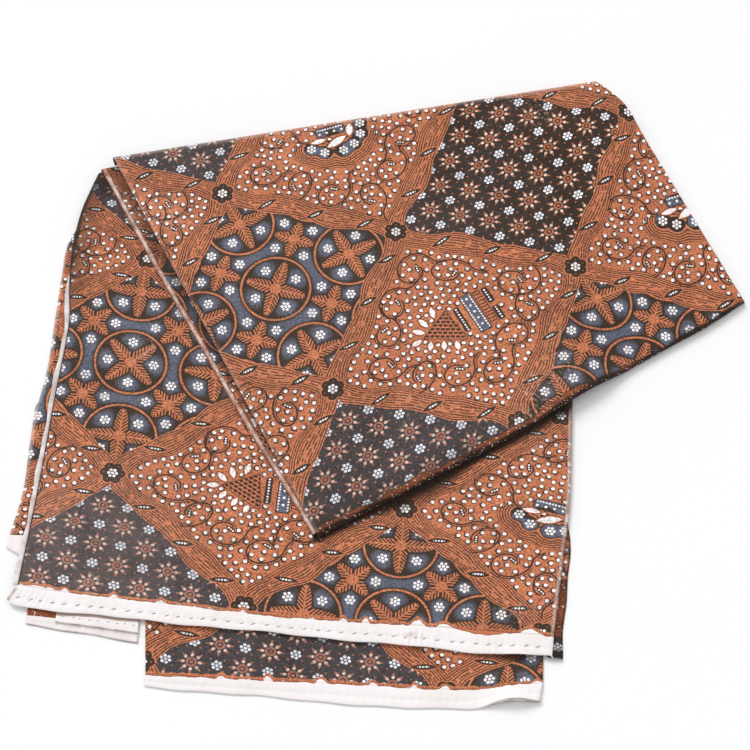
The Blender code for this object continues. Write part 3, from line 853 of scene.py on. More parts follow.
def ferns_material():
    """Rings, four-armed ferns, slate fields and seven-dot flowers on charcoal."""
    g = Graph("print_ferns")
    s, t, a, b = cell_frame(g)
    s_cell, t_cell = (s / FERN_PITCH).whole(), (t / FERN_PITCH).whole()
    x, y = s - s_cell * FERN_PITCH, t - t_cell * FERN_PITCH
    fx, fy = abs(x), abs(y)
    big, small = fx.high(fy), fx.low(fy)
    r = hypot(x, y)

    in_middle = (abs(s_cell) + abs(t_cell)) < 0.5
    beside = 1 - in_middle
    cx = in_middle * (big - 25) + beside * ((big + small) * ROOT_HALF - 25)
    cy = in_middle * small + beside * ((big - small) * ROOT_HALF)
    bridge = hypot((big - 46) * 1.35, (small - 21).high(0))
    ix, iy = fx - FERN_PITCH / 2, fy - FERN_PITCH / 2
    ring_leaf, ring_dark, ring_away = fern_arm((x + y) * ROOT_HALF, (x - y) * ROOT_HALF, 34.0)
    cross_leaf, cross_dark, cross_away = fern_arm(x, y, 34.0)
    side_leaf, side_dark, side_away = fern_arm((ix + iy) * ROOT_HALF, (ix - iy) * ROOT_HALF, 22.5)
    inside = r < 36
    leaf = ((in_middle * ring_leaf + beside * cross_leaf) * inside).high(side_leaf * (r > 40))
    dark = ((in_middle * ring_dark + beside * cross_dark) * inside).high(side_dark * (r > 40))
    blue = hypot(cx * 0.9, cy).low(bridge).low(abs(hypot(ix, iy) - 15.0) + 5)
    mottled = g.noise(g.vector(s, t), 0.09, 1.0) * 1.2 + 0.5
    clear = (in_middle * ring_away + beside * cross_away) * (r < 38) + side_away * (r > 38)
    rim = abs(a).high(abs(b)).ease(SIDE / 2 - 10, SIDE / 2 - 24) * 0.8 + 0.2
    blue = blue.ease(16.0, 6.0) * abs(r - FERN_RING).ease(1.0, 5.5) * clear * mottled * rim
    colour = g.over(CHARCOAL, (blue.clamp(), SLATE), (leaf, BROWN), (dark, CHARCOAL),
                    (abs(r - FERN_RING) < 1.15, BROWN), (seven_dots(cx, cy), WHITE),
                    (seven_dots(big - 46, small - 22), WHITE))
    return printed(g, nodes_and_bands(g, colour))


def scrolls_material():
    """Brown ground with dark scrolls, rows of white dots, leaves, petals and the two figures."""
    g = Graph("print_scrolls")
    s, t, _, _ = cell_frame(g)
    place = g.place()
    colour = g.mix(g.noise(place, 40.0, 1.0).ease(0.35, 0.7) * 0.3, BROWN, DEEP_BROWN)

    signed, margin, plain = g.attribute_parts("scroll")
    stem = (plain < 3.4) * (abs(signed) < 0.95)
    hair = (abs(signed - 2.7) < 0.55) * (g.noise(place, 150.0, 0.0) > 0.42) * (plain < 5)
    colour = g.mix(stem.high(hair) * (margin > 0), colour, LINE)

    x, y, turn = g.attribute_parts("dot")
    r = hypot(x, y)
    stroke = (abs(r - 3.55) < 0.5) * ((x * turn.cos() + y * turn.sin()) > r * 0.1)
    colour = g.over(colour, (stroke, LINE), (hypot(x + 0.3, y + 0.45) < 2.7, LINE), (r < 2.0, WHITE))

    along, across, _ = g.attribute_parts("leaf")
    shape = lens(along, across)
    beads = hypot(repeated(along, 1 / 2.4, 0.5) * 6.96, across * 2.7) < 1.0
    colour = g.over(colour, (shape < 1.3, BROWN), (shape < 1, CHARCOAL),
                    (beads * (abs(along) < 0.62), WHITE))

    figure = g.attribute("figure")
    rock = g.attribute("kind") > 2.5
    vase = 1 - rock
    echo = ((figure / 2.8).fract() < 0.42) * (figure > 1.6) * (figure < 14.6) * (t < 6 - s * 0.25)
    rungs = ((t / 4.3).fract() < 0.3).high(abs(abs(s - 39) - 4.2) < 0.5)
    rungs = rungs * (abs(s - 39) < 4.6) * (abs(t - 3.5) < 24)
    fill = g.over(CHARCOAL, ((s > 17) * (s < 35) * vase, SLATE),
                  (rock * (g.noise(place, 55.0, 1.0) > 0.5), SLATE))
    mound = (s < 5) * (s + t * 0.114 < 0.4) * (figure < -0.2) * vase
    along, across = s * 0.86 - t * 0.51, (s * 0.51 + t * 0.86) / SCALE_HEIGHT
    scale_x = ((along + across.floor() * (SCALE_WIDTH / 2)) / SCALE_WIDTH).fract() - 0.5
    scales = hypot(scale_x, across.fract() - 0.75) < 0.42
    colour = g.over(colour, (echo * rock, LINE), (rungs * vase, LINE), (abs(figure) < 0.7, LINE),
                    (figure < -0.5, fill), (mound, BROWN), (mound * scales, LINE))

    bead_x = abs(abs(s - 26) - 5.2).low(abs(s - 9)).low(abs(s - 48.8))
    vase_beads = (hypot(repeated(t, 3.6), bead_x) < BEAD) * (figure < -0.8) * (s > 0)
    wide_beads = (hypot(repeated(t, 9.0), s - 26) < 1.5) * (figure < -2.5) * (s > 20)
    along, across = (s + 3) * 0.985 - (t - 18) * 0.174, (s + 3) * 0.174 + (t - 18) * 0.985
    rock_beads = (hypot(repeated(along, 3.3), across - 3.6) < BEAD).high(
        hypot(repeated(along, 9.0), across + 1.6) < 1.5)
    rock_beads = rock_beads * (abs(along) < 15) * (abs(across) < 6)
    x, y, _ = g.attribute_parts("lobe")
    beads = (vase_beads.high(wide_beads) * vase).high(rock_beads * rock).high(seven_dots(x, y))

    along, across, _ = g.attribute_parts("petal")
    shape = lens(along, across)
    colour = g.over(colour, (beads, WHITE), (shape < 1.35, LINE), (shape < 1.15, BROWN),
                    (shape < 0.86, WHITE))
    return printed(g, nodes_and_bands(g, colour, echoed=True))


def undyed_material():
    """White cotton with a plain weave, faint yellowing, stains, painted shade and the print's ragged edge.
    """
    g = Graph("undyed_cotton")
    place = g.place()
    x, y, _ = g.parts(place)
    # Stains, and painted shade where the stain numbers mark contact lines and the back hem's mouth
    stain_and_shade_mask = g.attribute("stain_and_shade") * (g.noise(place, 70.0, 3.0).ease(0.3, 0.7) + 0.25)
    bare = g.attribute("bare")
    ragged = g.noise(place, 90.0) * 5.0 - 2.6
    colour = g.mix(g.noise(place, 20.0, 3.0).ease(0.3, 0.8) * 0.5, UNDYED, YELLOWED)
    colour = g.over(colour, (stain_and_shade_mask.clamp(), STAIN_AND_SHADE), (bare < ragged + 0.7, DEEP_BROWN),
                    (bare < ragged, BROWN))
    height = weave(x, y) * 0.25 + g.noise(place, 130.0, 3.0) * 1.6 + g.noise(place, 45.0) * 2.0
    return g.finish(colour, 0.9, height, 0.6, 0.0006)


def thread_material():
    """Dark thread, mottled along its length."""
    g = Graph("dark_thread")
    return g.finish(g.mix(g.noise(g.place(), 700.0, 1.0), (0.13, 0.08, 0.10), (0.30, 0.21, 0.25)), 0.8)


def floor_material():
    """Plain pale floor."""
    g = Graph("pale_floor")
    colour = g.mix(g.noise(g.place(), 3.0, 1.0), (0.93, 0.93, 0.94), (0.94, 0.94, 0.945))
    return g.finish(colour, 0.7, sheen=0.0)


PRINTS = [stars_material(), ferns_material(), scrolls_material()]
COTTON = undyed_material()
THREAD = thread_material()

# Meshes


def add_object(name, data):
    """An object in the scene that holds the data."""
    made = bpy.data.objects.new(name, data)
    bpy.context.scene.collection.objects.link(made)
    return made


def add_mesh(name, points, faces, materials, smooth_shaded=True):
    """An object in the frame from layout points: less CENTRE, in metres."""
    mesh = bpy.data.meshes.new(name)
    metres = (points - np.array([*CENTRE, 0])) / 1000
    mesh.from_pydata(metres.tolist(), [], faces)
    for material in materials:
        mesh.materials.append(material)
    mesh.polygons.foreach_set("use_smooth", np.full(len(faces), smooth_shaded))
    return add_object(name, mesh)


def grid_faces(rows, columns):
    """Four-sided faces of a grid, each round from its lower left corner."""
    index = np.arange(rows * columns).reshape(rows, columns)
    return np.stack([index[:-1, :-1], index[:-1, 1:], index[1:, 1:], index[1:, :-1]], -1).reshape(-1, 4)


def wall(made, thickness, closed):
    """Thickens a sheet downwards; a wall that isn't closed has a rim but no lower side."""
    shell = made.modifiers.new("wall", "SOLIDIFY")
    shell.thickness = thickness / 1000
    shell.offset = -1
    shell.use_rim_only = not closed


def store(mesh, name, domain, values, size=1):
    """An attribute of one or three numbers at each point or corner."""
    kind, slot = ("FLOAT", "value") if size == 1 else ("FLOAT_VECTOR", "vector")
    made = mesh.attributes.new(name, kind, domain)
    made.data.foreach_set(slot, np.ascontiguousarray(values, np.float32).ravel())


def cloth(name, grid, places, materials, numbers):
    """A sheet on a grid of points, with the Print UV map and each kind of number at the points."""
    size = grid.shape[:2]
    faces = grid_faces(*size)
    made = add_mesh(name, grid.reshape(-1, 3), faces.tolist(), materials)
    layer = made.data.uv_layers.new(name="Print")
    layer.data.foreach_set("uv", places.reshape(-1, 2)[faces.ravel()].astype(np.float32).ravel())
    for field, values in numbers.items():
        store(made.data, field, "POINT", np.broadcast_to(values, size))
    return made, faces


# dark carries painted shade; the wear number carries wear and painted highlights
def printed_cloth(name, grid, steps, bare=FAR, border=-FAR, wear_and_highlight=0.0, dark=0.0):
    """A layer of printed cloth on a grid of points, with its place in the print at each point."""
    kind, scroll, figure = point_fields(steps.reshape(-1, 2))
    kind, figure = kind.reshape(grid.shape[:2]), figure.reshape(grid.shape[:2])
    made, faces = cloth(name, grid, steps * np.array([S_STEP, T_STEP]) / 1000, PRINTS,
                        {"figure": figure, "kind": kind, "bare": bare, "border": border,
                         "wear_and_highlight": wear_and_highlight, "dark": dark})
    store(made.data, "scroll", "POINT", scroll, 3)
    face_kind, corner_fields = face_fields(steps.reshape(-1, 2), faces)
    for field, values in corner_fields.items():
        store(made.data, field, "CORNER", values, 3)
    made.data.polygons.foreach_set("material_index", np.minimum(face_kind, 2).astype(np.int32))
    wall(made, CLOTH, False)
    return made


# The stain numbers paint stains and, on some hems, painted shade
def undyed_cloth(name, grid, thickness, bare=FAR, stain_and_shade=0.0):
    """A hem on a grid of points, closed on all sides."""
    rows, columns = grid.shape[:2]
    places = np.stack(np.meshgrid(np.linspace(0, 1, columns), np.linspace(0, 1, rows)), -1)
    made, _ = cloth(name, grid, places, [COTTON], {"bare": bare, "stain_and_shade": stain_and_shade})
    wall(made, thickness, True)
    return made


def declare(made, replaced):
    """Attaches a sheet to the root body that it rides on and hides the parts that it replaces."""
    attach(made, "root")
    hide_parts(*replaced)


def front_panel():
    """Top layer of the block: a Coons patch whose height is the lower of a quarter circle in from
    its sides and a soft slope up from its hem, plus creases and ripples away from the edges.
    Painted shade darkens its left edge, a band under the flap's foot and the corner under the
    flap's left end."""
    u, v = np.r_[0, 0.002, np.linspace(0.004, 1, 232)], np.linspace(0, 1, 262)
    plane = patch(FRONT_PRINT_EDGE, straight(FRONT_LEFT[-1], FRONT_RIGHT[-1]),
                  FRONT_LEFT, FRONT_RIGHT, u, v)
    x, y = plane[..., 0], plane[..., 1]
    left, right, up = u[None] * STRIP_WIDTH, (1 - u)[None] * STRIP_WIDTH, v[:, None] * BLOCK_LENGTH
    from_side = np.minimum(left, right)
    side = EDGE_HEIGHT + (BLOCK_TOP - EDGE_HEIGHT) * rounded(from_side, EDGE_ROUND)
    front = PRINT_EDGE_HEIGHT + (BLOCK_TOP - PRINT_EDGE_HEIGHT) * smooth(up / FRONT_SLOPE)
    inner = smooth(from_side / 40) * smooth(up / 60)
    height = np.minimum(side, front) + inner * (creases(BLOCK_CREASES, plane) + ripple(plane, 0.35))

    # Wear with a painted highlight: a light line along the right edge, and a faint faded spot
    faded = np.linalg.norm(plane - np.array(FADED_SPOT), axis=-1)
    wear_and_highlight = np.maximum(0.7 * hump(right, 1.5, 2.5), 0.06 * smooth(1.2 - faded / 150))
    # Painted shade: left edge line, a shadow under the flap's foot, the upper left edge, the spot by the
    # flap
    left_shade_width = 1.6 + 4.5 * smooth((v - SIDE_HEM_SHARE) / 0.05)[:, None]
    below = np.interp(x, *np.array(FLAP_FOOT, float).T) - y
    foot_shadow_width = 6.0 + 15.0 * hump(x, 52, 75) + 9.0 * smooth((x - 110) / 60)
    corner = np.linalg.norm(plane - np.array(PAINTED_SHADE_SPOT), axis=-1)
    painted_shades = (0.95 * smooth((left_shade_width - left) / (0.6 * left_shade_width) + 0.35),
              0.95 * smooth(1.25 - below / foot_shadow_width) * (x > -62) * (below > -30),
              0.55 * smooth(1.15 - left / 30) * smooth((v - 0.6) / 0.12)[:, None],
              0.85 * smooth(1.4 - corner / 30))
    return printed_cloth("front_panel", with_height(plane, height), chart(plane, BLOCK_CHART),
                         bare=up - lifts(FRONT_BITES, x), wear_and_highlight=wear_and_highlight, dark=np.maximum.reduce(painted_shades))


def hem_waves(x):
    """How far a hem's outer edge strays: two sines along x."""
    return 0.5 * np.sin(x / 9 + 1) + 0.6 * np.sin(x / 23)


HEM_SHARES = np.array([0, 0.02, 0.06, 0.14, 0.24, 0.33, 0.40, 0.47, 0.56, 0.7, 0.86, 1])
SEAM_ROW = 6
SEAM = HEM_SHARES[SEAM_ROW]


def hem_grid(edge, inner, u, top, lift, gathers=()):
    """A turned hem: rows from its outer edge in. Its height is a quarter-circle crown, a trough at
    the seam, puckers that fade from the seam, tighter ones scaled by the gathers' humps, and two
    uneven sines, added to the top and the lift."""
    shares = HEM_SHARES[:, None]
    plane = between(outline(edge, u), outline(inner, u), shares[..., None])
    along = u * STRIP_WIDTH
    plane[..., 1] += hem_waves(plane[..., 0]) * smooth(1 - shares / 0.6)
    crown = 0.88 * (rounded(shares * 18, 2.0) - 1)
    trough = -0.5 * hump(shares, SEAM, 0.12)
    pucker = 0.3 * np.sin(along / PUCKER_PITCH * 2 * np.pi) * hump(shares, SEAM, 0.4)
    tight = lifts(gathers, plane[..., 0]) * hump(shares, 0.45, 0.6)
    tight = tight * np.sin(along / GATHER_PITCH * 2 * np.pi + shares * 2.5)
    uneven = 0.125 * np.sin(along / 37) + 0.075 * np.sin(along / 11 + 2)
    return with_height(plane, top + crown + trough + pucker + tight + uneven + lift(plane))


def depth_in_hem(grid):
    """Distance of each point from the hem's inner line."""
    return np.linalg.norm(grid[:, :, :2] - grid[-1:, :, :2], axis=2)


def front_hem():
    """The block's turned hem, lifted by its humps least at the print; stained at its left end and
    at a knot in the seam."""
    u = np.linspace(0, 1, 300)
    from_end = np.minimum(u, 1 - u) * STRIP_WIDTH
    top = PRINT_EDGE_HEIGHT + 0.1 + HEM_END_DROP * (rounded(from_end, HEM_END_ROUND) - 1)
    grid = hem_grid(FRONT_HEM_EDGE, FRONT_PRINT_EDGE, u, top[None],
                    lambda plane: lifts(FRONT_HEM_LIFTS, plane[:, :, 0])
                    * np.linspace(1, 0.1, len(plane))[:, None], FRONT_GATHERS)
    depth = depth_in_hem(grid)
    end = smooth(1 - u * STRIP_WIDTH / 5.0)[None] * smooth((depth - 1) / 5)
    knot = smooth(1.5 - np.hypot((grid[..., 0] - KNOT[0]) / 2.6, grid[..., 1] - KNOT[1]) / 1.6)
    return undyed_cloth("front_hem", grid, HEM_WALL, bare=depth + lifts(FRONT_BITES, grid[..., 0]),
                        stain_and_shade=np.maximum(end, knot))


def side_hem():
    """Narrow hem up the front panel's left edge: a low ridge, half an ellipse across, whose width
    wavers by two sines and tapers at its upper end."""
    v = np.linspace(0, SIDE_HEM_SHARE, 200)
    across = np.linspace(1, -0.1, 8)
    wide = SIDE_HEM_WIDTH * (0.9 + 0.12 * np.sin(v * 31) + 0.08 * np.sin(v * 83))
    taper = 0.35 + 0.65 * smooth((SIDE_HEM_SHARE - v) / 0.06)
    reach = across[None] * (wide * taper)[:, None]
    plane = outline(FRONT_LEFT, v)[:, None] - np.stack([reach, np.zeros_like(reach)], -1)
    crown = 1.6 + 1.5 * np.sqrt(np.clip(1 - (across * 2 - 0.9) ** 2 * 0.9, 0, 1))
    height = SECOND_WALL + GAP + crown[None] + 0.2 * np.sin(v * 140)[:, None]
    return undyed_cloth("side_hem", with_height(plane, height), 1.3, stain_and_shade=0.55)


def second_panel():
    """Second layer of the block: a folded edge that rounds down to the surface at the left by a
    quarter circle, with a ripple."""
    outer = outline(SECOND_LEFT, np.linspace(0, 1, 220))
    height_up = (outer[:, 1] - FRONT_PRINT_EDGE[0][1]) / LEFT_HEIGHT
    inner = outline(FRONT_LEFT, height_up) + np.array([EDGE_ROUND - CORE_REACH, 0])
    share = np.r_[0, 0.005, 0.02, 0.05, 0.1, 0.18, np.linspace(0.28, 1, 8)]
    plane = between(outer[:, None], inner[:, None], share[:, None])
    top = 0.1 + (SECOND_WALL - 0.1) * rounded(share * SECOND_REACH + 0.02, SECOND_ROUND * 0.7)
    grid = with_height(plane, np.maximum(top[None] + ripple(plane, 0.2), 0.25))
    # Wear with a painted highlight along the folded edge's crest
    return printed_cloth("second_panel", grid, chart(plane, BLOCK_CHART, (0.9, 0.4)),
                         wear_and_highlight=0.45 * hump(share * SECOND_REACH, 2.0, 2.2)[None])


def second_hem():
    """The second layer's hem: a patch with a low sine along x."""
    plane = plain_patch(SECOND_HEM_EDGE, SECOND_PRINT_EDGE, np.linspace(0, 1, 14), np.linspace(0, 1, 9))
    height = SECOND_WALL - 0.4 + 0.2 * np.sin(plane[..., 0] / 3)
    return undyed_cloth("second_hem", with_height(plane, height), 1.6)


def right_fold():
    """Under layers past the front panel's right edge: rows that drop by a table to their outer
    line, which wavers by a sine and draws in at its upper end."""
    outer = outline(RIGHT_FOLD_EDGE, np.linspace(0, 1, 120))
    outer[:, 0] += 0.7 * np.sin(outer[:, 1] / 9) - 6.0 * smooth((outer[:, 1] + 200) / 46)
    inner = outer - np.array([14.0, -1.0])
    share = np.array([0, 0.4, 0.7, 0.85, 0.94, 0.985, 1])[:, None]
    plane = between(inner[:, None], outer[:, None], share)
    y = plane[..., 1]
    drop = np.array([0, 0, 0.1, 0.3, 0.8, 1.6, 2.6])
    top = RIGHT_FOLD_TOP - drop + ripple(plane, 0.15)
    # Painted shade on the under layers: darkest beside the front panel and at the outer edge, and by the
    # hem
    streak = 0.15 * np.sin(y / 7) + 0.12 * np.sin(y / 3.1)
    dark = np.clip(np.array([0.9, 0.6, 0.45, 0.3, 0.35, 0.5, 0.7]) + streak, 0, 1)
    dark = np.maximum(dark, 0.9 * smooth((-312 - y) / 6))
    return printed_cloth("right_fold", with_height(plane, top)[::-1],
                         chart(plane, BLOCK_CHART, (1.2, 0.3))[::-1],
                         border=2.0 + 9.0 * np.sin(y / 17 + 1), dark=dark[::-1])


def back_pieces():
    """The lowest panel on the surface and its hem: level, but for one soft hump that lifts the
    hem most at its open edge and the panel a little beside it."""
    u, share = np.linspace(0, 1, 180), np.linspace(0, 1, 50)
    plane = plain_patch(BACK_PRINT_EDGE, BACK_INNER_EDGE, u, share)
    x, share = plane[..., 0], share[:, None]
    lift = lifts(BACK_HEM_LIFTS, x) * 0.4 * smooth(1 - share / 0.35)
    height = CLOTH + np.minimum(lift, 3.4) + 0.15 + np.abs(ripple(plane, 0.15))
    # Painted shadow on the back panel under the front hem's lifted part
    under = np.interp(x, *np.array(FRONT_HEM_EDGE, float).T) - 3.0 - plane[..., 1]
    panel = printed_cloth("back_panel", with_height(plane, height), chart(plane, BLOCK_CHART, BACK_SHIFT),
                          bare=share * 100 - lifts(BACK_BITES, x),
                          dark=0.75 * smooth(1 - under / 7) * hump(x, 132, 40))
    open_share = np.r_[0.1, np.linspace(1, 0.4, 11)][:, None]
    grid = hem_grid(BACK_HEM_EDGE, BACK_PRINT_EDGE, u, HEM_WALL + 0.15,
                    lambda plane: lifts(BACK_HEM_LIFTS, plane[:, :, 0]) * open_share, BACK_GATHERS)
    x = grid[..., 0]
    grid[..., 1] += 4.0 * hump(x, 136, 40) * np.linspace(1, 0, 12)[:, None]
    grid[..., 2] = np.maximum(grid[..., 2], 1.15)
    # Painted shade on the hem's outer rows under the lift, where its mouth opens
    mouth_shade = np.clip(2.4 * hump(x, 134, 40), 0, 1) * (np.arange(12) < 2)[:, None]
    return panel, undyed_cloth("back_hem", grid, HEM_WALL - 0.8,
                               bare=depth_in_hem(grid) + lifts(BACK_BITES, x), stain_and_shade=mouth_shade)


def inner_pieces():
    """Three layers below the front hem: a level panel, its hem, and a wider hem over both, with
    crossed sines for its height, a painted shadow line close under the front hem's edge and painted
    shade along both hems' outer edges."""
    u = np.linspace(0, 1, 60)
    plane = plain_patch(INNER_PRINT_EDGE, INNER_EDGE, u, np.linspace(0, 1, 16))
    panel = printed_cloth("inner_panel", with_height(plane, CLOTH + 0.1),
                          chart(plane, BLOCK_CHART, (0.2, 0.1)), border=9.0)
    grid = hem_grid(INNER_HEM_EDGE, INNER_PRINT_EDGE, u, CLOTH + GAP, lambda plane: 0, BACK_GATHERS)
    grid[..., 2] = np.maximum(grid[..., 2], 0.75)
    # Painted shade along the lower hem's outer edge
    lower = undyed_cloth("inner_hem_lower", grid, 0.6, stain_and_shade=np.array([1, 1, 0.4] + [0.1] * 9)[:, None])
    rows = np.r_[0, 0.01, 0.03, 0.07, 0.11, np.linspace(0.13, 0.30, 14), np.linspace(0.34, 1, 10)]
    plane = plain_patch(UPPER_HEM_EDGE, UPPER_INNER_EDGE, u, rows)
    x = plane[..., 0]
    height = UPPER_HEM_TOP + 0.25 * np.sin(x / 5) * np.sin(x / 23)
    cover_x, cover_y = outline(FRONT_HEM_EDGE, np.linspace(0, 1, 300)).T
    under = np.interp(x, cover_x, cover_y + hem_waves(cover_x)) - plane[..., 1]
    # Painted shade: a dark line close under the front hem's edge, and on the hem's own outer rows
    line = 3.0 * smooth(1.7 - under / 1.8)
    line[:2] = 1
    return panel, lower, undyed_cloth("inner_hem_upper", with_height(plane, height), CLOTH, stain_and_shade=line)


def flap_base(plane):
    """Height of what the flap lies on: the block, then a soft step down to the surface past its edge."""
    edge = np.array(FRONT_RIGHT, float)
    past = plane[..., 0] - np.interp(plane[..., 1], edge[:, 1], edge[:, 0])
    return (BLOCK_TOP + GAP) * (1 - smooth((past - RAMP_START) / (RAMP_END - RAMP_START)))


def flap_panel():
    """Top layer of the flap: tucked foot, half-round roll, level top and a turn round the head.

    Each column runs from foot to head. The place in the print follows the cloth's own length.
    """
    u = np.r_[np.linspace(0, 0.985, 222), np.linspace(0.985, 1, 14)[1:]]
    foot, head = outline(FLAP_FOOT, u), outline(FLAP_HEAD, u)
    length = np.linalg.norm(head - foot, axis=1)
    toward = (head - foot) / length[:, None]
    floor = flap_base(foot)
    roll = FLAP_RISE / 2 - 0.2
    turn = (flap_base(head) + FLAP_RISE) / 2
    theta = np.radians(np.linspace(-90, 90, 15))[:, None]
    phi = np.radians(np.linspace(0, HEAD_TURN, 18))[:, None]
    share = np.linspace(0, 1, 242)[1:-1][:, None]
    over = roll + (length - turn - roll)[None] * share
    along = np.concatenate([np.full((1, len(u)), roll + ROLL_TUCK),
                            np.broadcast_to(roll * (1 - np.cos(theta)), (len(theta), len(u))),
                            over, length - turn + turn * np.sin(phi)])
    plane = foot[None] + toward[None] * along[..., None]
    first_over, last_over = 1 + len(theta), 1 + len(theta) + len(share)
    sunk = 0.4 * smooth(1 - (over - roll) / 60)
    top = flap_base(plane[first_over:last_over]) + FLAP_RISE - sunk
    z = np.concatenate([floor[None], floor + roll + roll * np.sin(theta), top, turn + turn * np.cos(phi)])

    low = flap_base(plane) * (z > floor[None] + 0.5)
    share_up = rounded((1 - u) * STRIP_WIDTH + 0.35, FLAP_SIDE_ROUND)[None]
    z = np.where(z > low, low + (z - low) * share_up, z)
    above = slice(first_over, last_over + 1)
    z[above] -= FLAP_EDGE_DROP * (1 - rounded(u * STRIP_WIDTH, FLAP_EDGE_ROUND))[None]
    calm = smooth(u * STRIP_WIDTH / 25) * smooth((1 - u) * STRIP_WIDTH / 30)
    level = np.zeros(z.shape)
    level[first_over:last_over] = smooth(share / 0.08) * smooth((1 - share) / 0.06)
    z = z + level * calm[None] * (creases(FLAP_CREASES, plane) + ripple(plane, 0.4))

    walked = np.cumsum(np.linalg.norm(np.diff(np.dstack([along, z]), axis=0), axis=2), axis=0)
    walked = np.concatenate([np.zeros((1, len(u))), walked])
    middle = (first_over + last_over) // 2
    flat = walked - walked[middle] + along[middle]
    steps = chart(foot[None] + toward[None] * flat[..., None], FLAP_CHART, (0, 2))
    straying = 1.6 * np.sin(u * 37) + 1.0 * np.sin(u * 91)
    border = (7.6 * smooth((0.8 - u) / 0.25) - 1.0 + straying)[None] - flat
    # Wear with a painted highlight on the left edge's crest, and a painted highlight along the head fold
    wear_and_highlight = 0.3 * hump(u * STRIP_WIDTH, 1.0, 2.0)[None]
    wear_and_highlight = wear_and_highlight + 0.35 * smooth((flat - length + 12) / 10) * smooth((length + 6 - flat) / 8)
    # Painted shade on the roll's underside, and over the flap's lower left near its foot
    dark = 0.96 * smooth((5.4 + 1.6 * np.sin(u * 23) + 1.0 * np.sin(u * 61) - flat) / 5.0)
    dark = np.maximum(dark, 0.35 * smooth(1.2 - flat / 26) * smooth((0.5 - u) / 0.2))
    return printed_cloth("flap_panel", np.dstack([plane, z]), steps, border=border, wear_and_highlight=wear_and_highlight, dark=dark)


def flap_under():
    """Second layer of the flap: a crest along the left edge, rounded outwards by a quarter circle,
    dipped behind, bowed by a sine and turned down at the head."""
    shares = np.r_[0.01, np.linspace(0.03, 1, 180)]
    (foot, _), (head, beside) = outline(FLAP_FOOT, [0, 1]), outline(FLAP_HEAD, [0, 0.2])
    toward = (head - foot) / np.linalg.norm(head - foot)
    out = np.array([-toward[1], toward[0]])
    fold = (beside - head) / np.linalg.norm(beside - head)
    skew = (fold @ toward) / (fold @ -out)
    turn = (BLOCK_TOP + GAP + UNDER_RISE) / 2
    length = np.linalg.norm(head - foot) - UNDER_INSET - turn
    phi = np.radians(np.linspace(0, UNDER_TURN, 13)[1:])
    along = np.r_[shares * length, length + turn * np.sin(phi)][:, None]
    up = np.minimum(along[:, 0] / length, 1)
    shows = np.interp(up, *np.array(UNDER_SHOWS).T) + 5.0 * np.sin(np.pi * up) * smooth(up / 0.3)
    steps_in = np.r_[0, 0.15, 0.5, 1.0, 1.8, 2.8, 4, 5.5, 7.5, 10, 13, 17, 22, 30]
    inward = (steps_in / steps_in[-1])[None] * (shows + UNDER_REACH)[:, None]
    offset = shows[:, None] - inward
    slide = -offset * skew * smooth((along - 380) / 140)
    plane = foot + toward * (along + slide)[:, :, None] + out * offset[:, :, None]
    share = rounded(inward, UNDER_ROUND)
    dip = 2.2 * smooth((inward - 6) / 6) * smooth(shows / 10)[:, None]
    crest = BLOCK_TOP + GAP + 0.2 + (UNDER_RISE - 0.2) * share - dip
    turned_down = (turn + turn * np.cos(phi))[:, None] - (1 - share[len(shares):])
    top = np.vstack([crest[:len(shares)], turned_down])
    # Wear with a painted highlight along the crest, and painted shade in the dip behind it
    patchy = 0.7 + 0.3 * np.sin(along * 0.13) * np.sin(along * 0.037 + 1) + 0.2 * np.sin(along * 0.31)
    wear_and_highlight = hump(inward, 2.6, 2.6) * patchy
    wear_and_highlight[len(shares):] *= 0.6
    return printed_cloth("flap_under", with_height(plane, top), chart(plane, BLOCK_CHART, (-0.1, -0.45)),
                         wear_and_highlight=wear_and_highlight, dark=0.55 * smooth((inward - 4.5) / 8),
                         border=5.5 + 1.5 * np.sin(along * 0.05) - inward)


def stitches(name, line, spacing, length, tilt):
    """Running stitches along a line of points: short threads that dip at both ends by a fourth
    power, each a six-sided tube with narrowed, closed ends."""
    walked = walked_along(line)
    starts = np.arange(6, walked[-1] - length, spacing)
    wander = np.random.default_rng(4).normal(0, 0.8, (len(starts), 2))
    bend = np.linspace(0, 1, 6)[None]
    spots = at_lengths(line, walked, starts[:, None] + wander[:, :1] + bend * length)
    spots[..., 1] += (bend - 0.5) * tilt + wander[:, 1:] * 0.4
    spots[..., 2] += 0.35 - 1.1 * (2 * bend - 1) ** 4
    angle = np.linspace(0, 2 * np.pi, 6, endpoint=False)
    width = THREAD_RADIUS * np.array([0.3, 0.8, 1, 1, 0.8, 0.3])
    ring = np.stack([np.zeros(6), np.cos(angle), np.sin(angle)], -1)
    points = spots[:, :, None] + width[None, :, None, None] * ring[None, None]
    index = np.arange(len(starts) * 36).reshape(-1, 6, 6)
    beside = np.roll(index, -1, axis=2)
    sides = np.stack([index[:, 1:], beside[:, 1:], beside[:, :-1], index[:, :-1]], -1).reshape(-1, 4)
    caps = np.concatenate([index[:, 0, ::-1], index[:, -1]])
    made = add_mesh(name, points.reshape(-1, 3), sides.tolist() + caps.tolist(), [THREAD], False)
    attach(made, "root")
    return made


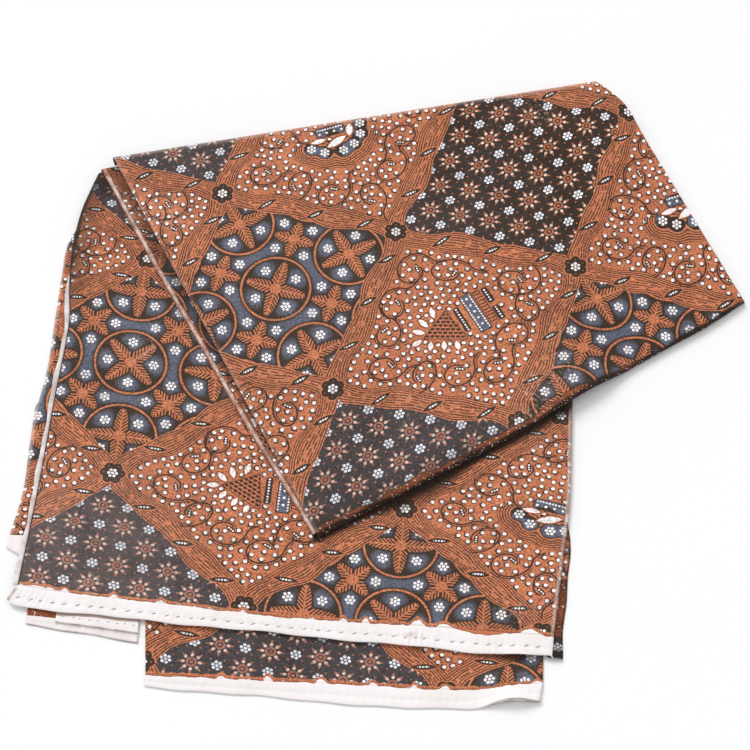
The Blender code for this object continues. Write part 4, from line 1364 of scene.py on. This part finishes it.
def row_of(made, row, columns):
    """Layout points of one row of a piece's grid."""
    flat = np.zeros(len(made.data.vertices) * 3)
    made.data.vertices.foreach_get("co", flat)
    return flat.reshape(-1, columns, 3)[row] * 1000 + np.array([*CENTRE, 0])


front = front_panel()
hem = front_hem()
edge_hem = side_hem()
second = second_panel()
second_white = second_hem()
fold = right_fold()
back, back_white = back_pieces()
inner, inner_low, inner_up = inner_pieces()
flap = flap_panel()
under = flap_under()
front_thread = stitches("front_stitches", row_of(hem, SEAM_ROW, 300), 12.6, 6.8, 2.8)
inner_thread = stitches("inner_stitches", row_of(inner_up, 4, 60), 9.0, 2.2, 0.8)

declare(front, ["front_panel", "block_core"])
declare(hem, ["front_hem"])
declare(edge_hem, ["side_hem"])
declare(second, ["second_panel"])
declare(second_white, ["second_hem"])
declare(fold, ["right_fold"])
declare(back, ["back_panel"])
declare(back_white, ["back_hem"])
declare(inner, ["inner_panel"])
declare(inner_low, ["inner_hem_lower"])
declare(inner_up, ["inner_hem_upper"])
declare(flap, ["flap_panel", "flap_core"])
declare(under, ["flap_under"])

# Floor, light and camera

floor_mesh = bpy.data.meshes.new("floor")
floor_mesh.from_pydata([(-30, -30, 0), (30, -30, 0), (30, 30, 0), (-30, 30, 0)], [], [(0, 1, 2, 3)])
floor_mesh.materials.append(floor_material())
floor = add_object("floor", floor_mesh)
floor.location.z = -0.0002

world = bpy.data.worlds.new("studio")
world.use_nodes = True
sky = world.node_tree.nodes["Background"].inputs
sky[0].default_value = (1.0, 1.0, 1.0, 1)
sky[1].default_value = 0.72
bpy.context.scene.world = world

lamp_data = bpy.data.lights.new("window", "SUN")
lamp_data.energy = 1.6
lamp_data.angle = 0.5
lamp = add_object("window", lamp_data)
lamp.rotation_euler = (np.radians(-38), np.radians(-30), 0)

camera_data = bpy.data.cameras.new("camera")
camera_data.sensor_fit = "HORIZONTAL"
camera_data.angle = np.radians(25)
camera_data.clip_end = 100
camera = add_object("camera", camera_data)
camera.location = (-0.0175, -0.97345, 1.5349)
camera.rotation_euler = (np.radians(32), 0, 0)
bpy.context.scene.camera = camera
bpy.context.scene.view_settings.view_transform = "Standard"
